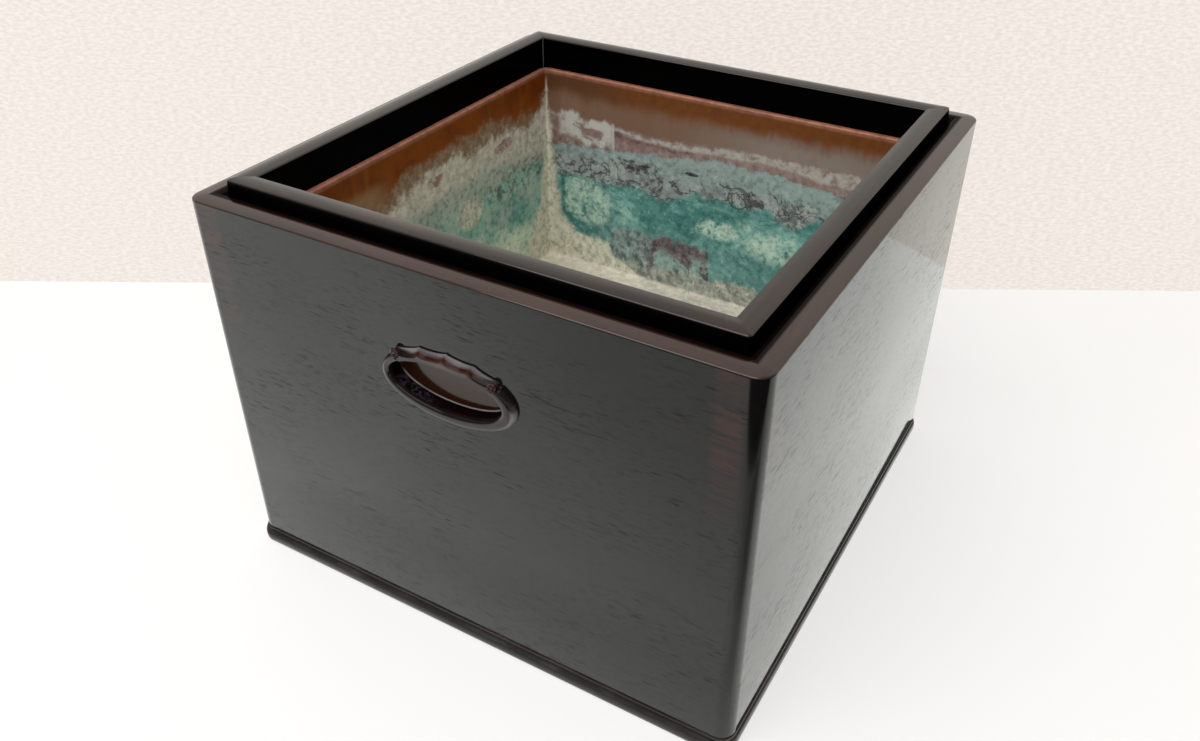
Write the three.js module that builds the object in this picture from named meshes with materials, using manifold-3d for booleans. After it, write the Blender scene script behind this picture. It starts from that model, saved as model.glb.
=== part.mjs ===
// A square box hibachi: a dark hardwood case on a rounded plinth, a collar round its mouth,
// carved finger pulls front and back, and a copper liner that lifts out.
// Millimetres, +Z up, origin on the table under the middle of the case, front towards -Y.
import * as THREE from "three";
import { mergeVertices } from "three/addons/utils/BufferGeometryUtils.js";
import Module from "manifold-3d";

// Case
const CASE_WIDTH = 364;
const CASE_DEPTH = 364;
const CASE_HEIGHT = 265.2;
const BOARD_THICKNESS = 16;
const CASE_CORNER_RADIUS = 5.5;
const CASE_EDGE_ROUND = 1.2;
const BOARD_TOP_FALL = 0.8;
const BOARD_SHOULDER_WIDTH = 4.5;
const BOARD_SHOULDER_DROP = 4.2;
const MITRE_GAP = 0.2;

// Plinth frame under the case
const PLINTH_HEIGHT = 11.5;
const PLINTH_FRONT_PROJECTION = 3.4;
const PLINTH_SIDE_PROJECTION = 1.6;
const PLINTH_RAIL_WIDTH = 30;
const PLINTH_FILLET_STEP = 1.6;
const PLINTH_FILLET_HEIGHT = 2.6;
const BULLNOSE_OVAL = 0.5;
const BULLNOSE_SWEEP = 70;

// Collar round the mouth
const COLLAR_THICKNESS = 14;
const COLLAR_RISE = 8.5;
const COLLAR_RAIL_HEIGHT = 46;
const COLLAR_CORNER_RADIUS = 3.6;
const COLLAR_LEAN = 1.1;
const COLLAR_TOP_FALL = 0.6;
const COLLAR_EDGE_ROUND = 1.3;

// Splines and glue blocks in the case corners
const SPLINE_THICKNESS = 2.4;
const SPLINE_WIDTH = 11;
const SPLINE_END_STOP = 24;
const SPLINE_CLEARANCE = 0.2;
const SPLINE_DEPTH_SHARE = 0.55;
const BLOCK_LEG = 14;
const BLOCK_CLEARANCE = 0.2;

// Bottom board
const FLOOR_THICKNESS = 9;
const FLOOR_CLEARANCE = 0.5;

// Copper liner
const SHEET_THICKNESS = 1;
const LINER_FLOOR_HEIGHT = 87;
const LINER_TOP_BELOW_COLLAR = 22.9;
const LINER_SIDE_CLEARANCE = 0.6;
const LINER_CORNER_RADIUS = 3;
const LINER_FOLD_RADIUS = 3;
const LINER_REST_GAP = 0.2;
const WIRE_DIAMETER = 2.4;
const WIRE_CLEARANCE = 0.3;
const ROLL_TURN_DOWN = 3.2;

// Ledgers and slats that carry the liner
const SLAT_THICKNESS = 9;
const SLAT_WIDTH = 44;
const SLAT_COUNT = 4;
const SLAT_END_INSET = 24;
const SLAT_END_CLEARANCE = 1;
const LEDGER_THICKNESS = 12;
const LEDGER_HEIGHT = 22;
const LEDGER_END_CLEARANCE = 1;

// Carved finger pulls
const PULL_HALF_WIDTH = 44.8;
const PULL_HALF_HEIGHT = 22.2;
const PULL_HOLE_HALF_WIDTH = 37.9;
const PULL_HOLE_HALF_HEIGHT = 14.3;
const PULL_CENTRE_BELOW_CASE_TOP = 69.2;
const PULL_OFF_MIDDLE = 2.5;
const PULL_PROUD = 4.6;
const PULL_BORDER_PROUD = 4.2;
const PULL_STEM_WALL = 3.8;
const PULL_STEM_DEPTH = 6.2;
const PULL_HOLE_CLEARANCE = 0.3;
const PULL_BACK_THICKNESS = 3;
const PULL_BACK_LAP = 0.1;
const PULL_ROUND_POWER = 4;
const CREST_EDGE_PROUD = 2.2;
const FLUTE_FLOOR_PROUD = 1.2;
const FLUTE_START_SHARE = 0.36;
const FLUTE_COUNT = 4;
const FLUTE_DEPTH = 1.3;
const CREST_HALF_WIDTH = 50.6;
const CREST_HALF_HEIGHT = 23;
const CREST_HALF_ANGLE = 43;
const CREST_FADE = 5;
const CURL_RADIUS = 3.6;
const CURL_FROM_MIDDLE = 32.5;
const CURL_ABOVE_CENTRE = 13.6;

// Back plates behind the pulls
const PLATE_WIDTH = 112;
const PLATE_HEIGHT = 56;
const PLATE_THICKNESS = 6;

// Screws
const SCREW_SHANK_RADIUS = 1.6;
const SCREW_HEAD_RADIUS = 3.4;
const SCREW_HEAD_HEIGHT = 2;
const SCREW_BITE = 8;
const SCREW_TIP = 2.4;
const SCREW_CLEARANCE = 0.2;
const PLATE_SCREW_INSET = 7;
const LEDGER_SCREW_COUNT = 3;
const LEDGER_SCREW_END_INSET = 41;

// How finely round shapes are cut into flats
const CORNER_STEPS = 5;
const ROUND_STEPS = 4;
const PULL_STEPS = 72;
const SCREW_STEPS = 10;

// Levels and half sizes that follow from the sizes above
const HALF_WIDTH = CASE_WIDTH / 2;
const HALF_DEPTH = CASE_DEPTH / 2;
const INNER_WIDTH = CASE_WIDTH - 2 * BOARD_THICKNESS;
const INNER_DEPTH = CASE_DEPTH - 2 * BOARD_THICKNESS;
const COLLAR_TOP = CASE_HEIGHT + COLLAR_RISE;
const COLLAR_BOTTOM = COLLAR_TOP - COLLAR_RAIL_HEIGHT;
const MOUTH_WIDTH = INNER_WIDTH - 2 * COLLAR_THICKNESS;
const MOUTH_DEPTH = INNER_DEPTH - 2 * COLLAR_THICKNESS;
const FLOOR_TOP = PLINTH_HEIGHT + FLOOR_THICKNESS;
const LINER_TOP = COLLAR_TOP - LINER_TOP_BELOW_COLLAR;
const LINER_UNDERSIDE = LINER_FLOOR_HEIGHT - SHEET_THICKNESS;
const SLAT_TOP = LINER_UNDERSIDE - LINER_REST_GAP;
const LEDGER_TOP = SLAT_TOP - SLAT_THICKNESS;
const PULL_CENTRE = CASE_HEIGHT - PULL_CENTRE_BELOW_CASE_TOP;
const CUT_MARGIN = 20;

const wasm = await Module();
wasm.setup();

const darkWood = { color: 0x231b19, roughness: 0.32, metalness: 0 };
const bandWood = { color: 0x3a2825, roughness: 0.34, metalness: 0 };
const carvedWood = { color: 0x4a2420, roughness: 0.36, metalness: 0 };
const plainWood = { color: 0x8a6a48, roughness: 0.7, metalness: 0 };
const copper = { color: 0x9a6242, roughness: 0.5, metalness: 0.85 };
const wireMetal = { color: 0x8c8a80, roughness: 0.45, metalness: 0.9 };
const screwBrass = { color: 0xa98a4a, roughness: 0.4, metalness: 0.9 };

// Geometry into a solid that can be joined and cut
function solid(geometry) {
  const bare = geometry.clone();
  bare.deleteAttribute("normal");
  bare.deleteAttribute("uv");
  const merged = mergeVertices(bare, 1e-4);
  const mesh = new wasm.Mesh({
    numProp: 3,
    vertProperties: new Float32Array(merged.attributes.position.array),
    triVerts: new Uint32Array(merged.index.array),
  });
  return new wasm.Manifold(mesh);
}

// A solid, or a plain geometry, as a named mesh with its own material
function piece(name, shape, look) {
  let geometry = shape;
  if (!shape.isBufferGeometry) {
    const mesh = shape.getMesh();
    geometry = new THREE.BufferGeometry();
    geometry.setAttribute("position", new THREE.BufferAttribute(mesh.vertProperties, 3));
    geometry.setIndex(new THREE.BufferAttribute(mesh.triVerts, 1));
    geometry.computeVertexNormals();
  }
  const made = new THREE.Mesh(geometry, new THREE.MeshStandardMaterial(look));
  made.name = name;
  return made;
}

function shifted(geometry, x, y, z) {
  return geometry.translate(x, y, z);
}

function box(width, depth, height, x, y, bottom) {
  return shifted(new THREE.BoxGeometry(width, depth, height), x, y, bottom + height / 2);
}

// Points round a rounded rectangle, counterclockwise seen from above
function loop(width, depth, radius) {
  const points = [];
  const corners = [
    [1, 1, 0],
    [-1, 1, 90],
    [-1, -1, 180],
    [1, -1, 270],
  ];
  for (const [signX, signY, start] of corners) {
    const x = signX * (width / 2 - radius);
    const y = signY * (depth / 2 - radius);
    for (let i = 0; i <= CORNER_STEPS; i++) {
      const angle = THREE.MathUtils.degToRad(start + (90 * i) / CORNER_STEPS);
      points.push([x + radius * Math.cos(angle), y + radius * Math.sin(angle)]);
    }
  }
  return points;
}

// A closed skin over rings that all have the same number of points, from bottom to top
function skin(rings, closedOnItself) {
  const count = rings[0].length;
  const positions = rings.flat(2);
  const index = [];
  const last = closedOnItself ? rings.length : rings.length - 1;
  for (let r = 0; r < last; r++) {
    const next = (r + 1) % rings.length;
    for (let i = 0; i < count; i++) {
      const j = (i + 1) % count;
      const [a, b, c, d] = [r * count + i, r * count + j, next * count + j, next * count + i];
      index.push(a, b, c, a, c, d);
    }
  }
  if (!closedOnItself) {
    for (let i = 1; i < count - 1; i++) {
      const top = (rings.length - 1) * count;
      index.push(0, i + 1, i);
      index.push(top, top + i, top + i + 1);
    }
  }
  const geometry = new THREE.BufferGeometry();
  geometry.setAttribute("position", new THREE.Float32BufferAttribute(positions, 3));
  geometry.setIndex(index);
  return geometry;
}

// Rounded rectangles stacked up: each step is how far it stands out, and its height
function stack(width, depth, radius, steps) {
  const rings = steps.map(([out, z]) =>
    loop(width + 2 * out, depth + 2 * out, Math.max(radius + out, 0.2)).map(([x, y]) => [x, y, z]),
  );
  return skin(rings, false);
}

// Steps of a quarter round, from one end to the other
function quarter(centreOut, centreZ, radiusOut, radiusZ, startDegrees, endDegrees) {
  const steps = [];
  for (let i = 0; i <= ROUND_STEPS; i++) {
    const angle = THREE.MathUtils.degToRad(startDegrees + ((endDegrees - startDegrees) * i) / ROUND_STEPS);
    steps.push([centreOut + radiusOut * Math.cos(angle), centreZ + radiusZ * Math.sin(angle)]);
  }
  return steps;
}

// The prism that keeps one side of a mitred frame
function mitrePrism(side) {
  const reach = Math.min(HALF_WIDTH, HALF_DEPTH) - MITRE_GAP;
  const halfGap = (MITRE_GAP / 2) * Math.SQRT2;
  const alongX = side === "front" || side === "back";
  const half = alongX ? HALF_WIDTH : HALF_DEPTH;
  const face = alongX ? HALF_DEPTH : HALF_WIDTH;
  const outline = [
    [-half - CUT_MARGIN + halfGap, -face - CUT_MARGIN],
    [half + CUT_MARGIN - halfGap, -face - CUT_MARGIN],
    [half - reach - halfGap, -face + reach],
    [-half + reach + halfGap, -face + reach],
  ];
  const shape = new THREE.Shape(outline.map(([x, y]) => new THREE.Vector2(x, y)));
  const height = COLLAR_TOP + 2 * CUT_MARGIN;
  const prism = new THREE.ExtrudeGeometry(shape, { depth: height, bevelEnabled: false });
  prism.translate(0, 0, -CUT_MARGIN);
  return prism.rotateZ(sideTurn(side));
}

// Turn about Z that carries the front to a side
function sideTurn(side) {
  const quarters = { front: 0, right: 1, back: 2, left: 3 }[side];
  return (quarters * Math.PI) / 2;
}

const SIDES = ["front", "right", "back", "left"];
const CORNERS = [
  ["front_left", -1, -1],
  ["front_right", 1, -1],
  ["back_right", 1, 1],
  ["back_left", -1, 1],
];
const mitre = Object.fromEntries(SIDES.map((side) => [side, solid(mitrePrism(side))]));
const hibachi = new THREE.Group();

// Case boards: mitred at the corners, outer corners and edges rounded.
// Their top edges fall a little outwards, and round down inwards to the collar.
const caseEdgeTop = CASE_HEIGHT - BOARD_TOP_FALL;
const caseOuter = stack(CASE_WIDTH, CASE_DEPTH, CASE_CORNER_RADIUS, [
  ...quarter(-CASE_EDGE_ROUND, PLINTH_HEIGHT + CASE_EDGE_ROUND, CASE_EDGE_ROUND, CASE_EDGE_ROUND, -90, 0),
  ...quarter(-CASE_EDGE_ROUND, caseEdgeTop - CASE_EDGE_ROUND, CASE_EDGE_ROUND, CASE_EDGE_ROUND, 0, 90),
  [BOARD_SHOULDER_WIDTH - BOARD_THICKNESS, CASE_HEIGHT],
]);
const shoulderFoot = CASE_HEIGHT - BOARD_SHOULDER_DROP;
const caseHollow = stack(INNER_WIDTH, INNER_DEPTH, 0, [
  [0, -CUT_MARGIN],
  ...quarter(BOARD_SHOULDER_WIDTH, shoulderFoot, BOARD_SHOULDER_WIDTH, BOARD_SHOULDER_DROP, 180, 90),
  [BOARD_SHOULDER_WIDTH, CASE_HEIGHT + 1],
]);
const caseRing = solid(caseOuter).subtract(solid(caseHollow));

// Splines: thin strips let across each mitre, stopped short of both ends
const splineBottom = PLINTH_HEIGHT + SPLINE_END_STOP;
const splineHeight = CASE_HEIGHT - SPLINE_END_STOP - splineBottom;
function splineAt(signX, signY, clearance) {
  const strip = box(
    SPLINE_WIDTH + 2 * clearance,
    SPLINE_THICKNESS + 2 * clearance,
    splineHeight + 2 * clearance,
    0,
    0,
    splineBottom - clearance,
  );
  strip.rotateZ((-signX * signY * Math.PI) / 4);
  const middleX = signX * (HALF_WIDTH - BOARD_THICKNESS * SPLINE_DEPTH_SHARE);
  const middleY = signY * (HALF_DEPTH - BOARD_THICKNESS * SPLINE_DEPTH_SHARE);
  return shifted(strip, middleX, middleY, 0);
}

// A pull's stem goes through an oval hole in the board
function ovalPrism(halfWidth, halfHeight, depth, frontY, centreZ) {
  const shape = new THREE.Shape();
  shape.absellipse(0, 0, halfWidth, halfHeight, 0, 2 * Math.PI, false);
  const prism = new THREE.ExtrudeGeometry(shape, { depth, bevelEnabled: false, curveSegments: 24 });
  prism.rotateX(Math.PI / 2);
  return shifted(prism, PULL_OFF_MIDDLE, frontY + depth, centreZ);
}
const stemHalfWidth = PULL_HOLE_HALF_WIDTH + PULL_STEM_WALL;
const stemHalfHeight = PULL_HOLE_HALF_HEIGHT + PULL_STEM_WALL;
const pullHole = ovalPrism(
  stemHalfWidth + PULL_HOLE_CLEARANCE,
  stemHalfHeight + PULL_HOLE_CLEARANCE,
  BOARD_THICKNESS + 2,
  -HALF_DEPTH - 1,
  PULL_CENTRE,
);

// Screws: countersunk, pointing along -Y at the origin; a clearance widens them into their hole
function screw(length, clearance) {
  const shank = SCREW_SHANK_RADIUS + clearance;
  const head = SCREW_HEAD_RADIUS + clearance;
  const end = length + clearance;
  const above = clearance > 0 ? 1 : 0;
  const profile = [
    [0, -end],
    [shank, -end + SCREW_TIP],
    [shank, -SCREW_HEAD_HEIGHT],
    [head, 0],
  ];
  if (above) profile.push([head, above]);
  profile.push([0, above]);
  return new THREE.LatheGeometry(
    profile.map(([x, y]) => new THREE.Vector2(x, y)),
    SCREW_STEPS,
  );
}

// Back plates close the pockets behind the pulls, each held by four screws
const plateScrewLength = PLATE_THICKNESS + SCREW_BITE;
const plateScrewX = PLATE_WIDTH / 2 - PLATE_SCREW_INSET;
const plateScrewZ = PLATE_HEIGHT / 2 - PLATE_SCREW_INSET;
const plateFace = -HALF_DEPTH + BOARD_THICKNESS + PLATE_THICKNESS;
const plateScrewPlaces = [
  ["upper_left", -1, 1],
  ["upper_right", 1, 1],
  ["lower_left", -1, -1],
  ["lower_right", 1, -1],
];
function plateScrewAt(signX, signZ, clearance) {
  const turned = screw(plateScrewLength, clearance);
  const x = PULL_OFF_MIDDLE + signX * plateScrewX;
  return shifted(turned, x, plateFace, PULL_CENTRE + signZ * plateScrewZ);
}

// Ledgers: strips screwed to the side boards
const ledgerLength = INNER_DEPTH - 2 * (BLOCK_LEG + LEDGER_END_CLEARANCE);
const ledgerScrewLength = LEDGER_THICKNESS + SCREW_BITE;
const ledgerFace = HALF_WIDTH - BOARD_THICKNESS - LEDGER_THICKNESS;
const ledgerScrewHeight = LEDGER_TOP - LEDGER_HEIGHT / 2;
const ledgerScrewPitch = (ledgerLength - 2 * LEDGER_SCREW_END_INSET) / (LEDGER_SCREW_COUNT - 1);
function ledgerScrewAt(sign, number, clearance) {
  const turned = screw(ledgerScrewLength, clearance).rotateZ((sign * Math.PI) / 2);
  const y = (number - (LEDGER_SCREW_COUNT - 1) / 2) * ledgerScrewPitch;
  return shifted(turned, sign * ledgerFace, y, ledgerScrewHeight);
}
const ledgerScrewNumbers = Array.from({ length: LEDGER_SCREW_COUNT }, (_, number) => number);

for (const side of SIDES) {
  let board = caseRing.intersect(mitre[side]);
  for (const [, signX, signY] of CORNERS) {
    board = board.subtract(solid(splineAt(signX, signY, SPLINE_CLEARANCE)));
  }
  if (side === "front" || side === "back") {
    const turn = sideTurn(side);
    board = board.subtract(solid(pullHole.clone().rotateZ(turn)));
    for (const [, signX, signZ] of plateScrewPlaces) {
      board = board.subtract(solid(plateScrewAt(signX, signZ, SCREW_CLEARANCE).rotateZ(turn)));
    }
  } else {
    const sign = side === "right" ? 1 : -1;
    for (const number of ledgerScrewNumbers) {
      board = board.subtract(solid(ledgerScrewAt(sign, number, SCREW_CLEARANCE)));
    }
  }
  hibachi.add(piece(side + "_board", board, darkWood));
}
for (const [corner, signX, signY] of CORNERS) {
  hibachi.add(piece("spline_" + corner, splineAt(signX, signY, 0), plainWood));
}

// Plinth frame: four mitred rails under the boards, bullnosed, with a thin fillet above the round.
// The front and back rails stand out further than the two at the sides.
const bullnoseHeight = PLINTH_HEIGHT - PLINTH_FILLET_HEIGHT;
const bullnoseMiddle = bullnoseHeight / 2;
const bullnoseReach = bullnoseMiddle * BULLNOSE_OVAL;
const bullnoseCentre = PLINTH_FRONT_PROJECTION - bullnoseReach;
const filletOut = PLINTH_FRONT_PROJECTION - PLINTH_FILLET_STEP - bullnoseReach / 2;
const plinthProfile = [
  ...quarter(bullnoseCentre, bullnoseMiddle, bullnoseReach, bullnoseMiddle, -90, 0),
  ...quarter(bullnoseCentre, bullnoseMiddle, bullnoseReach, bullnoseMiddle, 0, BULLNOSE_SWEEP).slice(1),
  [filletOut, bullnoseHeight],
  [filletOut, PLINTH_HEIGHT],
];
const plinthRings = plinthProfile.map(([out, z]) => {
  const sideOut = (out * PLINTH_SIDE_PROJECTION) / PLINTH_FRONT_PROJECTION;
  const outline = loop(CASE_WIDTH + 2 * sideOut, CASE_DEPTH + 2 * out, CASE_CORNER_RADIUS + sideOut);
  return outline.map(([x, y]) => [x, y, z]);
});
const plinthOuter = skin(plinthRings, false);
const plinthHole = box(
  CASE_WIDTH + 2 * (PLINTH_SIDE_PROJECTION - PLINTH_RAIL_WIDTH),
  CASE_DEPTH + 2 * (PLINTH_FRONT_PROJECTION - PLINTH_RAIL_WIDTH),
  PLINTH_HEIGHT + 2 * CUT_MARGIN,
  0,
  0,
  -CUT_MARGIN,
);
const plinthRing = solid(plinthOuter).subtract(solid(plinthHole));
for (const side of SIDES) {
  hibachi.add(piece("plinth_rail_" + side, plinthRing.intersect(mitre[side]), darkWood));
}

// Collar: four mitred rails glued inside the boards, crowned on top, standing above the case.
// Above the boards their outer sides lean in a little.
const collarEdgeTop = COLLAR_TOP - COLLAR_TOP_FALL;
const collarRoundOut = -COLLAR_LEAN - COLLAR_EDGE_ROUND;
const collarRoundHeight = collarEdgeTop - COLLAR_EDGE_ROUND;
const collarMiddle = COLLAR_THICKNESS / 2;
const collarOuter = stack(INNER_WIDTH, INNER_DEPTH, COLLAR_CORNER_RADIUS, [
  [0, COLLAR_BOTTOM],
  [0, shoulderFoot],
  ...quarter(collarRoundOut, collarRoundHeight, COLLAR_EDGE_ROUND, COLLAR_EDGE_ROUND, 0, 90),
  [-collarMiddle, COLLAR_TOP],
]);
const collarHole = stack(MOUTH_WIDTH, MOUTH_DEPTH, 0, [
  [0, COLLAR_BOTTOM - CUT_MARGIN],
  ...quarter(COLLAR_EDGE_ROUND, collarRoundHeight, COLLAR_EDGE_ROUND, COLLAR_EDGE_ROUND, 180, 90),
  [collarMiddle, COLLAR_TOP],
  [collarMiddle, COLLAR_TOP + 1],
]);
const collarRing = solid(collarOuter).subtract(solid(collarHole));
for (const side of SIDES) {
  hibachi.add(piece("collar_rail_" + side, collarRing.intersect(mitre[side]), bandWood));
}

// Bottom board: lies on the plinth frame between the case boards
const floorBoard = box(
  INNER_WIDTH - 2 * FLOOR_CLEARANCE,
  INNER_DEPTH - 2 * FLOOR_CLEARANCE,
  FLOOR_THICKNESS,
  0,
  0,
  PLINTH_HEIGHT,
);
hibachi.add(piece("bottom_board", floorBoard, plainWood));

// Glue blocks: three-sided posts in the inner corners, from the bottom board up to the collar
const blockHeight = COLLAR_BOTTOM - FLOOR_TOP - 2 * BLOCK_CLEARANCE;
for (const [corner, signX, signY] of CORNERS) {
  const outline = [
    [0, 0],
    [-signX * BLOCK_LEG, 0],
    [0, -signY * BLOCK_LEG],
  ];
  const shape = new THREE.Shape(outline.map(([x, y]) => new THREE.Vector2(x, y)));
  const block = new THREE.ExtrudeGeometry(shape, { depth: blockHeight, bevelEnabled: false });
  const x = signX * (INNER_WIDTH / 2 - BLOCK_CLEARANCE);
  const y = signY * (INNER_DEPTH / 2 - BLOCK_CLEARANCE);
  hibachi.add(piece("glue_block_" + corner, shifted(block, x, y, FLOOR_TOP + BLOCK_CLEARANCE), plainWood));
}

// Ledgers with their screws, and the slats that lie across them
for (const [side, sign] of [
  ["left", -1],
  ["right", 1],
]) {
  const x = sign * (INNER_WIDTH / 2 - LEDGER_THICKNESS / 2);
  const strip = box(LEDGER_THICKNESS, ledgerLength, LEDGER_HEIGHT, x, 0, LEDGER_TOP - LEDGER_HEIGHT);
  let ledger = solid(strip);
  for (const number of ledgerScrewNumbers) {
    ledger = ledger.subtract(solid(ledgerScrewAt(sign, number, SCREW_CLEARANCE)));
    const name = "ledger_screw_" + side + "_" + (number + 1);
    hibachi.add(piece(name, ledgerScrewAt(sign, number, 0), screwBrass));
  }
  hibachi.add(piece("ledger_" + side, ledger, plainWood));
}
const slatPitch = (ledgerLength - 2 * SLAT_END_INSET - SLAT_WIDTH) / (SLAT_COUNT - 1);
for (let number = 0; number < SLAT_COUNT; number++) {
  const y = (number - (SLAT_COUNT - 1) / 2) * slatPitch;
  const length = INNER_WIDTH - 2 * SLAT_END_CLEARANCE;
  const slat = box(length, SLAT_WIDTH, SLAT_THICKNESS, 0, y, LEDGER_TOP);
  hibachi.add(piece("slat_" + (number + 1), slat, plainWood));
}

// Finger pull: an oval dish with a fluted crest over its ring, let into the board a little to the
// right of the middle, as the photograph shows it.
// Each section runs over the rim from the pocket to the board, then back along the stem.
function crestShare(degreesFromTop) {
  return THREE.MathUtils.smoothstep(CREST_HALF_ANGLE + CREST_FADE - Math.abs(degreesFromTop), 0, CREST_FADE);
}
function fluteShare(degreesFromTop) {
  const along = ((degreesFromTop + CREST_HALF_ANGLE) / (2 * CREST_HALF_ANGLE)) * FLUTE_COUNT;
  return Math.sin(Math.PI * (along - Math.floor(along)));
}
const rimShare = [0, 0.08, 0.24, 0.42, 0.6, 0.78, 0.92, 1];
function pullSections() {
  const sections = [];
  for (let i = 0; i < PULL_STEPS; i++) {
    const angle = (2 * Math.PI * i) / PULL_STEPS;
    const fromTop = THREE.MathUtils.euclideanModulo(THREE.MathUtils.radToDeg(angle) - 90 + 180, 360) - 180;
    const crest = crestShare(fromTop);
    const flute = crest * fluteShare(fromTop);
    const cos = Math.cos(angle);
    const sin = Math.sin(angle);
    const cut = 1 - (flute * FLUTE_DEPTH) / PULL_HALF_HEIGHT;
    const outerWidth = cut * THREE.MathUtils.lerp(PULL_HALF_WIDTH, CREST_HALF_WIDTH, crest);
    const outerHeight = cut * THREE.MathUtils.lerp(PULL_HALF_HEIGHT, CREST_HALF_HEIGHT, crest);
    const at = (share, proud) => {
      const x = cos * THREE.MathUtils.lerp(PULL_HOLE_HALF_WIDTH, outerWidth, share);
      const z = sin * THREE.MathUtils.lerp(PULL_HOLE_HALF_HEIGHT, outerHeight, share);
      return [PULL_OFF_MIDDLE + x, -HALF_DEPTH - proud, PULL_CENTRE + z];
    };
    const section = rimShare.map((share) => {
      const round = Math.sqrt(Math.max(1 - (2 * share - 1) ** PULL_ROUND_POWER, 0));
      const rim = PULL_PROUD * Math.max(round, share === 1 ? 0 : 0.35);
      const border = PULL_BORDER_PROUD * Math.min(1, 0.6 + 2 * share);
      const outward = THREE.MathUtils.smoothstep(share, FLUTE_START_SHARE, 1);
      const ridge = THREE.MathUtils.lerp(border, CREST_EDGE_PROUD, outward);
      const scooped = THREE.MathUtils.smoothstep(share, FLUTE_START_SHARE, 2 * FLUTE_START_SHARE);
      const scoop = THREE.MathUtils.lerp(ridge, FLUTE_FLOOR_PROUD, scooped * flute);
      const fluted = share > 0.95 ? 0 : scoop;
      return at(share, THREE.MathUtils.lerp(rim, fluted, crest));
    });
    const stem = (proud) => {
      const x = PULL_OFF_MIDDLE + cos * stemHalfWidth;
      return [x, -HALF_DEPTH - proud, PULL_CENTRE + sin * stemHalfHeight];
    };
    section.push(stem(0), stem(-PULL_STEM_DEPTH), at(0, -PULL_STEM_DEPTH));
    sections.push(section);
  }
  return sections;
}
const ringSolid = solid(skin(pullSections(), true));
const ringOutwards = ringSolid.volume() < 0 ? solid(skin(pullSections().reverse(), true)) : ringSolid;
const pocketBack = ovalPrism(
  stemHalfWidth - PULL_STEM_WALL / 2,
  stemHalfHeight - PULL_STEM_WALL / 2,
  PULL_BACK_THICKNESS,
  -HALF_DEPTH + PULL_STEM_DEPTH - PULL_BACK_LAP,
  PULL_CENTRE,
);
let pullSolid = ringOutwards.add(solid(pocketBack));
for (const sign of [-1, 1]) {
  const curl = new THREE.CylinderGeometry(CURL_RADIUS * 0.7, CURL_RADIUS, PULL_PROUD, 12);
  curl.rotateX(Math.PI);
  const y = -HALF_DEPTH - PULL_PROUD / 2;
  const x = PULL_OFF_MIDDLE + sign * CURL_FROM_MIDDLE;
  const curlPlace = [x, y, PULL_CENTRE + CURL_ABOVE_CENTRE];
  pullSolid = pullSolid.add(solid(shifted(curl, ...curlPlace)));
}
let plateSolid = solid(
  box(
    PLATE_WIDTH,
    PLATE_THICKNESS,
    PLATE_HEIGHT,
    PULL_OFF_MIDDLE,
    plateFace - PLATE_THICKNESS / 2,
    PULL_CENTRE - PLATE_HEIGHT / 2,
  ),
);
for (const [, signX, signZ] of plateScrewPlaces) {
  plateSolid = plateSolid.subtract(solid(plateScrewAt(signX, signZ, SCREW_CLEARANCE)));
}
for (const side of ["front", "back"]) {
  const sideGroup = new THREE.Group();
  sideGroup.rotation.z = sideTurn(side);
  sideGroup.add(piece("pull_" + side, pullSolid, carvedWood));
  sideGroup.add(piece("pull_plate_" + side, plateSolid, plainWood));
  for (const [place, signX, signZ] of plateScrewPlaces) {
    const name = "plate_screw_" + side + "_" + place;
    sideGroup.add(piece(name, plateScrewAt(signX, signZ, 0), screwBrass));
  }
  hibachi.add(sideGroup);
}

// Copper liner: a folded box whose rim turns out and down over a square ring of wire
const rollReach = WIRE_DIAMETER + 2 * WIRE_CLEARANCE + SHEET_THICKNESS;
const linerWidth = MOUTH_WIDTH - 2 * (LINER_SIDE_CLEARANCE + rollReach);
const linerDepth = MOUTH_DEPTH - 2 * (LINER_SIDE_CLEARANCE + rollReach);
const rollBottom = LINER_TOP - SHEET_THICKNESS - ROLL_TURN_DOWN;
const rollRound = SHEET_THICKNESS * 0.9;
const linerOuter = stack(linerWidth, linerDepth, LINER_CORNER_RADIUS, [
  ...quarter(
    -LINER_FOLD_RADIUS,
    LINER_UNDERSIDE + LINER_FOLD_RADIUS,
    LINER_FOLD_RADIUS,
    LINER_FOLD_RADIUS,
    -90,
    0,
  ),
  [0, LINER_TOP - SHEET_THICKNESS / 2],
]);
const rollOuter = stack(linerWidth, linerDepth, LINER_CORNER_RADIUS, [
  [rollReach, rollBottom],
  ...quarter(rollReach - rollRound, LINER_TOP - rollRound, rollRound, rollRound, 0, 90),
]);
const rollChannel = stack(linerWidth, linerDepth, LINER_CORNER_RADIUS, [
  [rollReach - SHEET_THICKNESS, rollBottom - 1],
  [rollReach - SHEET_THICKNESS, LINER_TOP - SHEET_THICKNESS],
]);
const linerHollow = stack(linerWidth, linerDepth, LINER_CORNER_RADIUS, [
  ...quarter(
    -LINER_FOLD_RADIUS,
    LINER_FLOOR_HEIGHT + LINER_FOLD_RADIUS - SHEET_THICKNESS,
    LINER_FOLD_RADIUS - SHEET_THICKNESS,
    LINER_FOLD_RADIUS - SHEET_THICKNESS,
    -90,
    0,
  ),
  [-SHEET_THICKNESS, LINER_TOP - rollRound],
  [-SHEET_THICKNESS + rollRound * 0.6, LINER_TOP + 1],
]);
const roll = solid(rollOuter).subtract(solid(rollChannel));
const linerSolid = solid(linerOuter).add(roll).subtract(solid(linerHollow));
hibachi.add(piece("copper_liner", linerSolid, copper));

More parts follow.
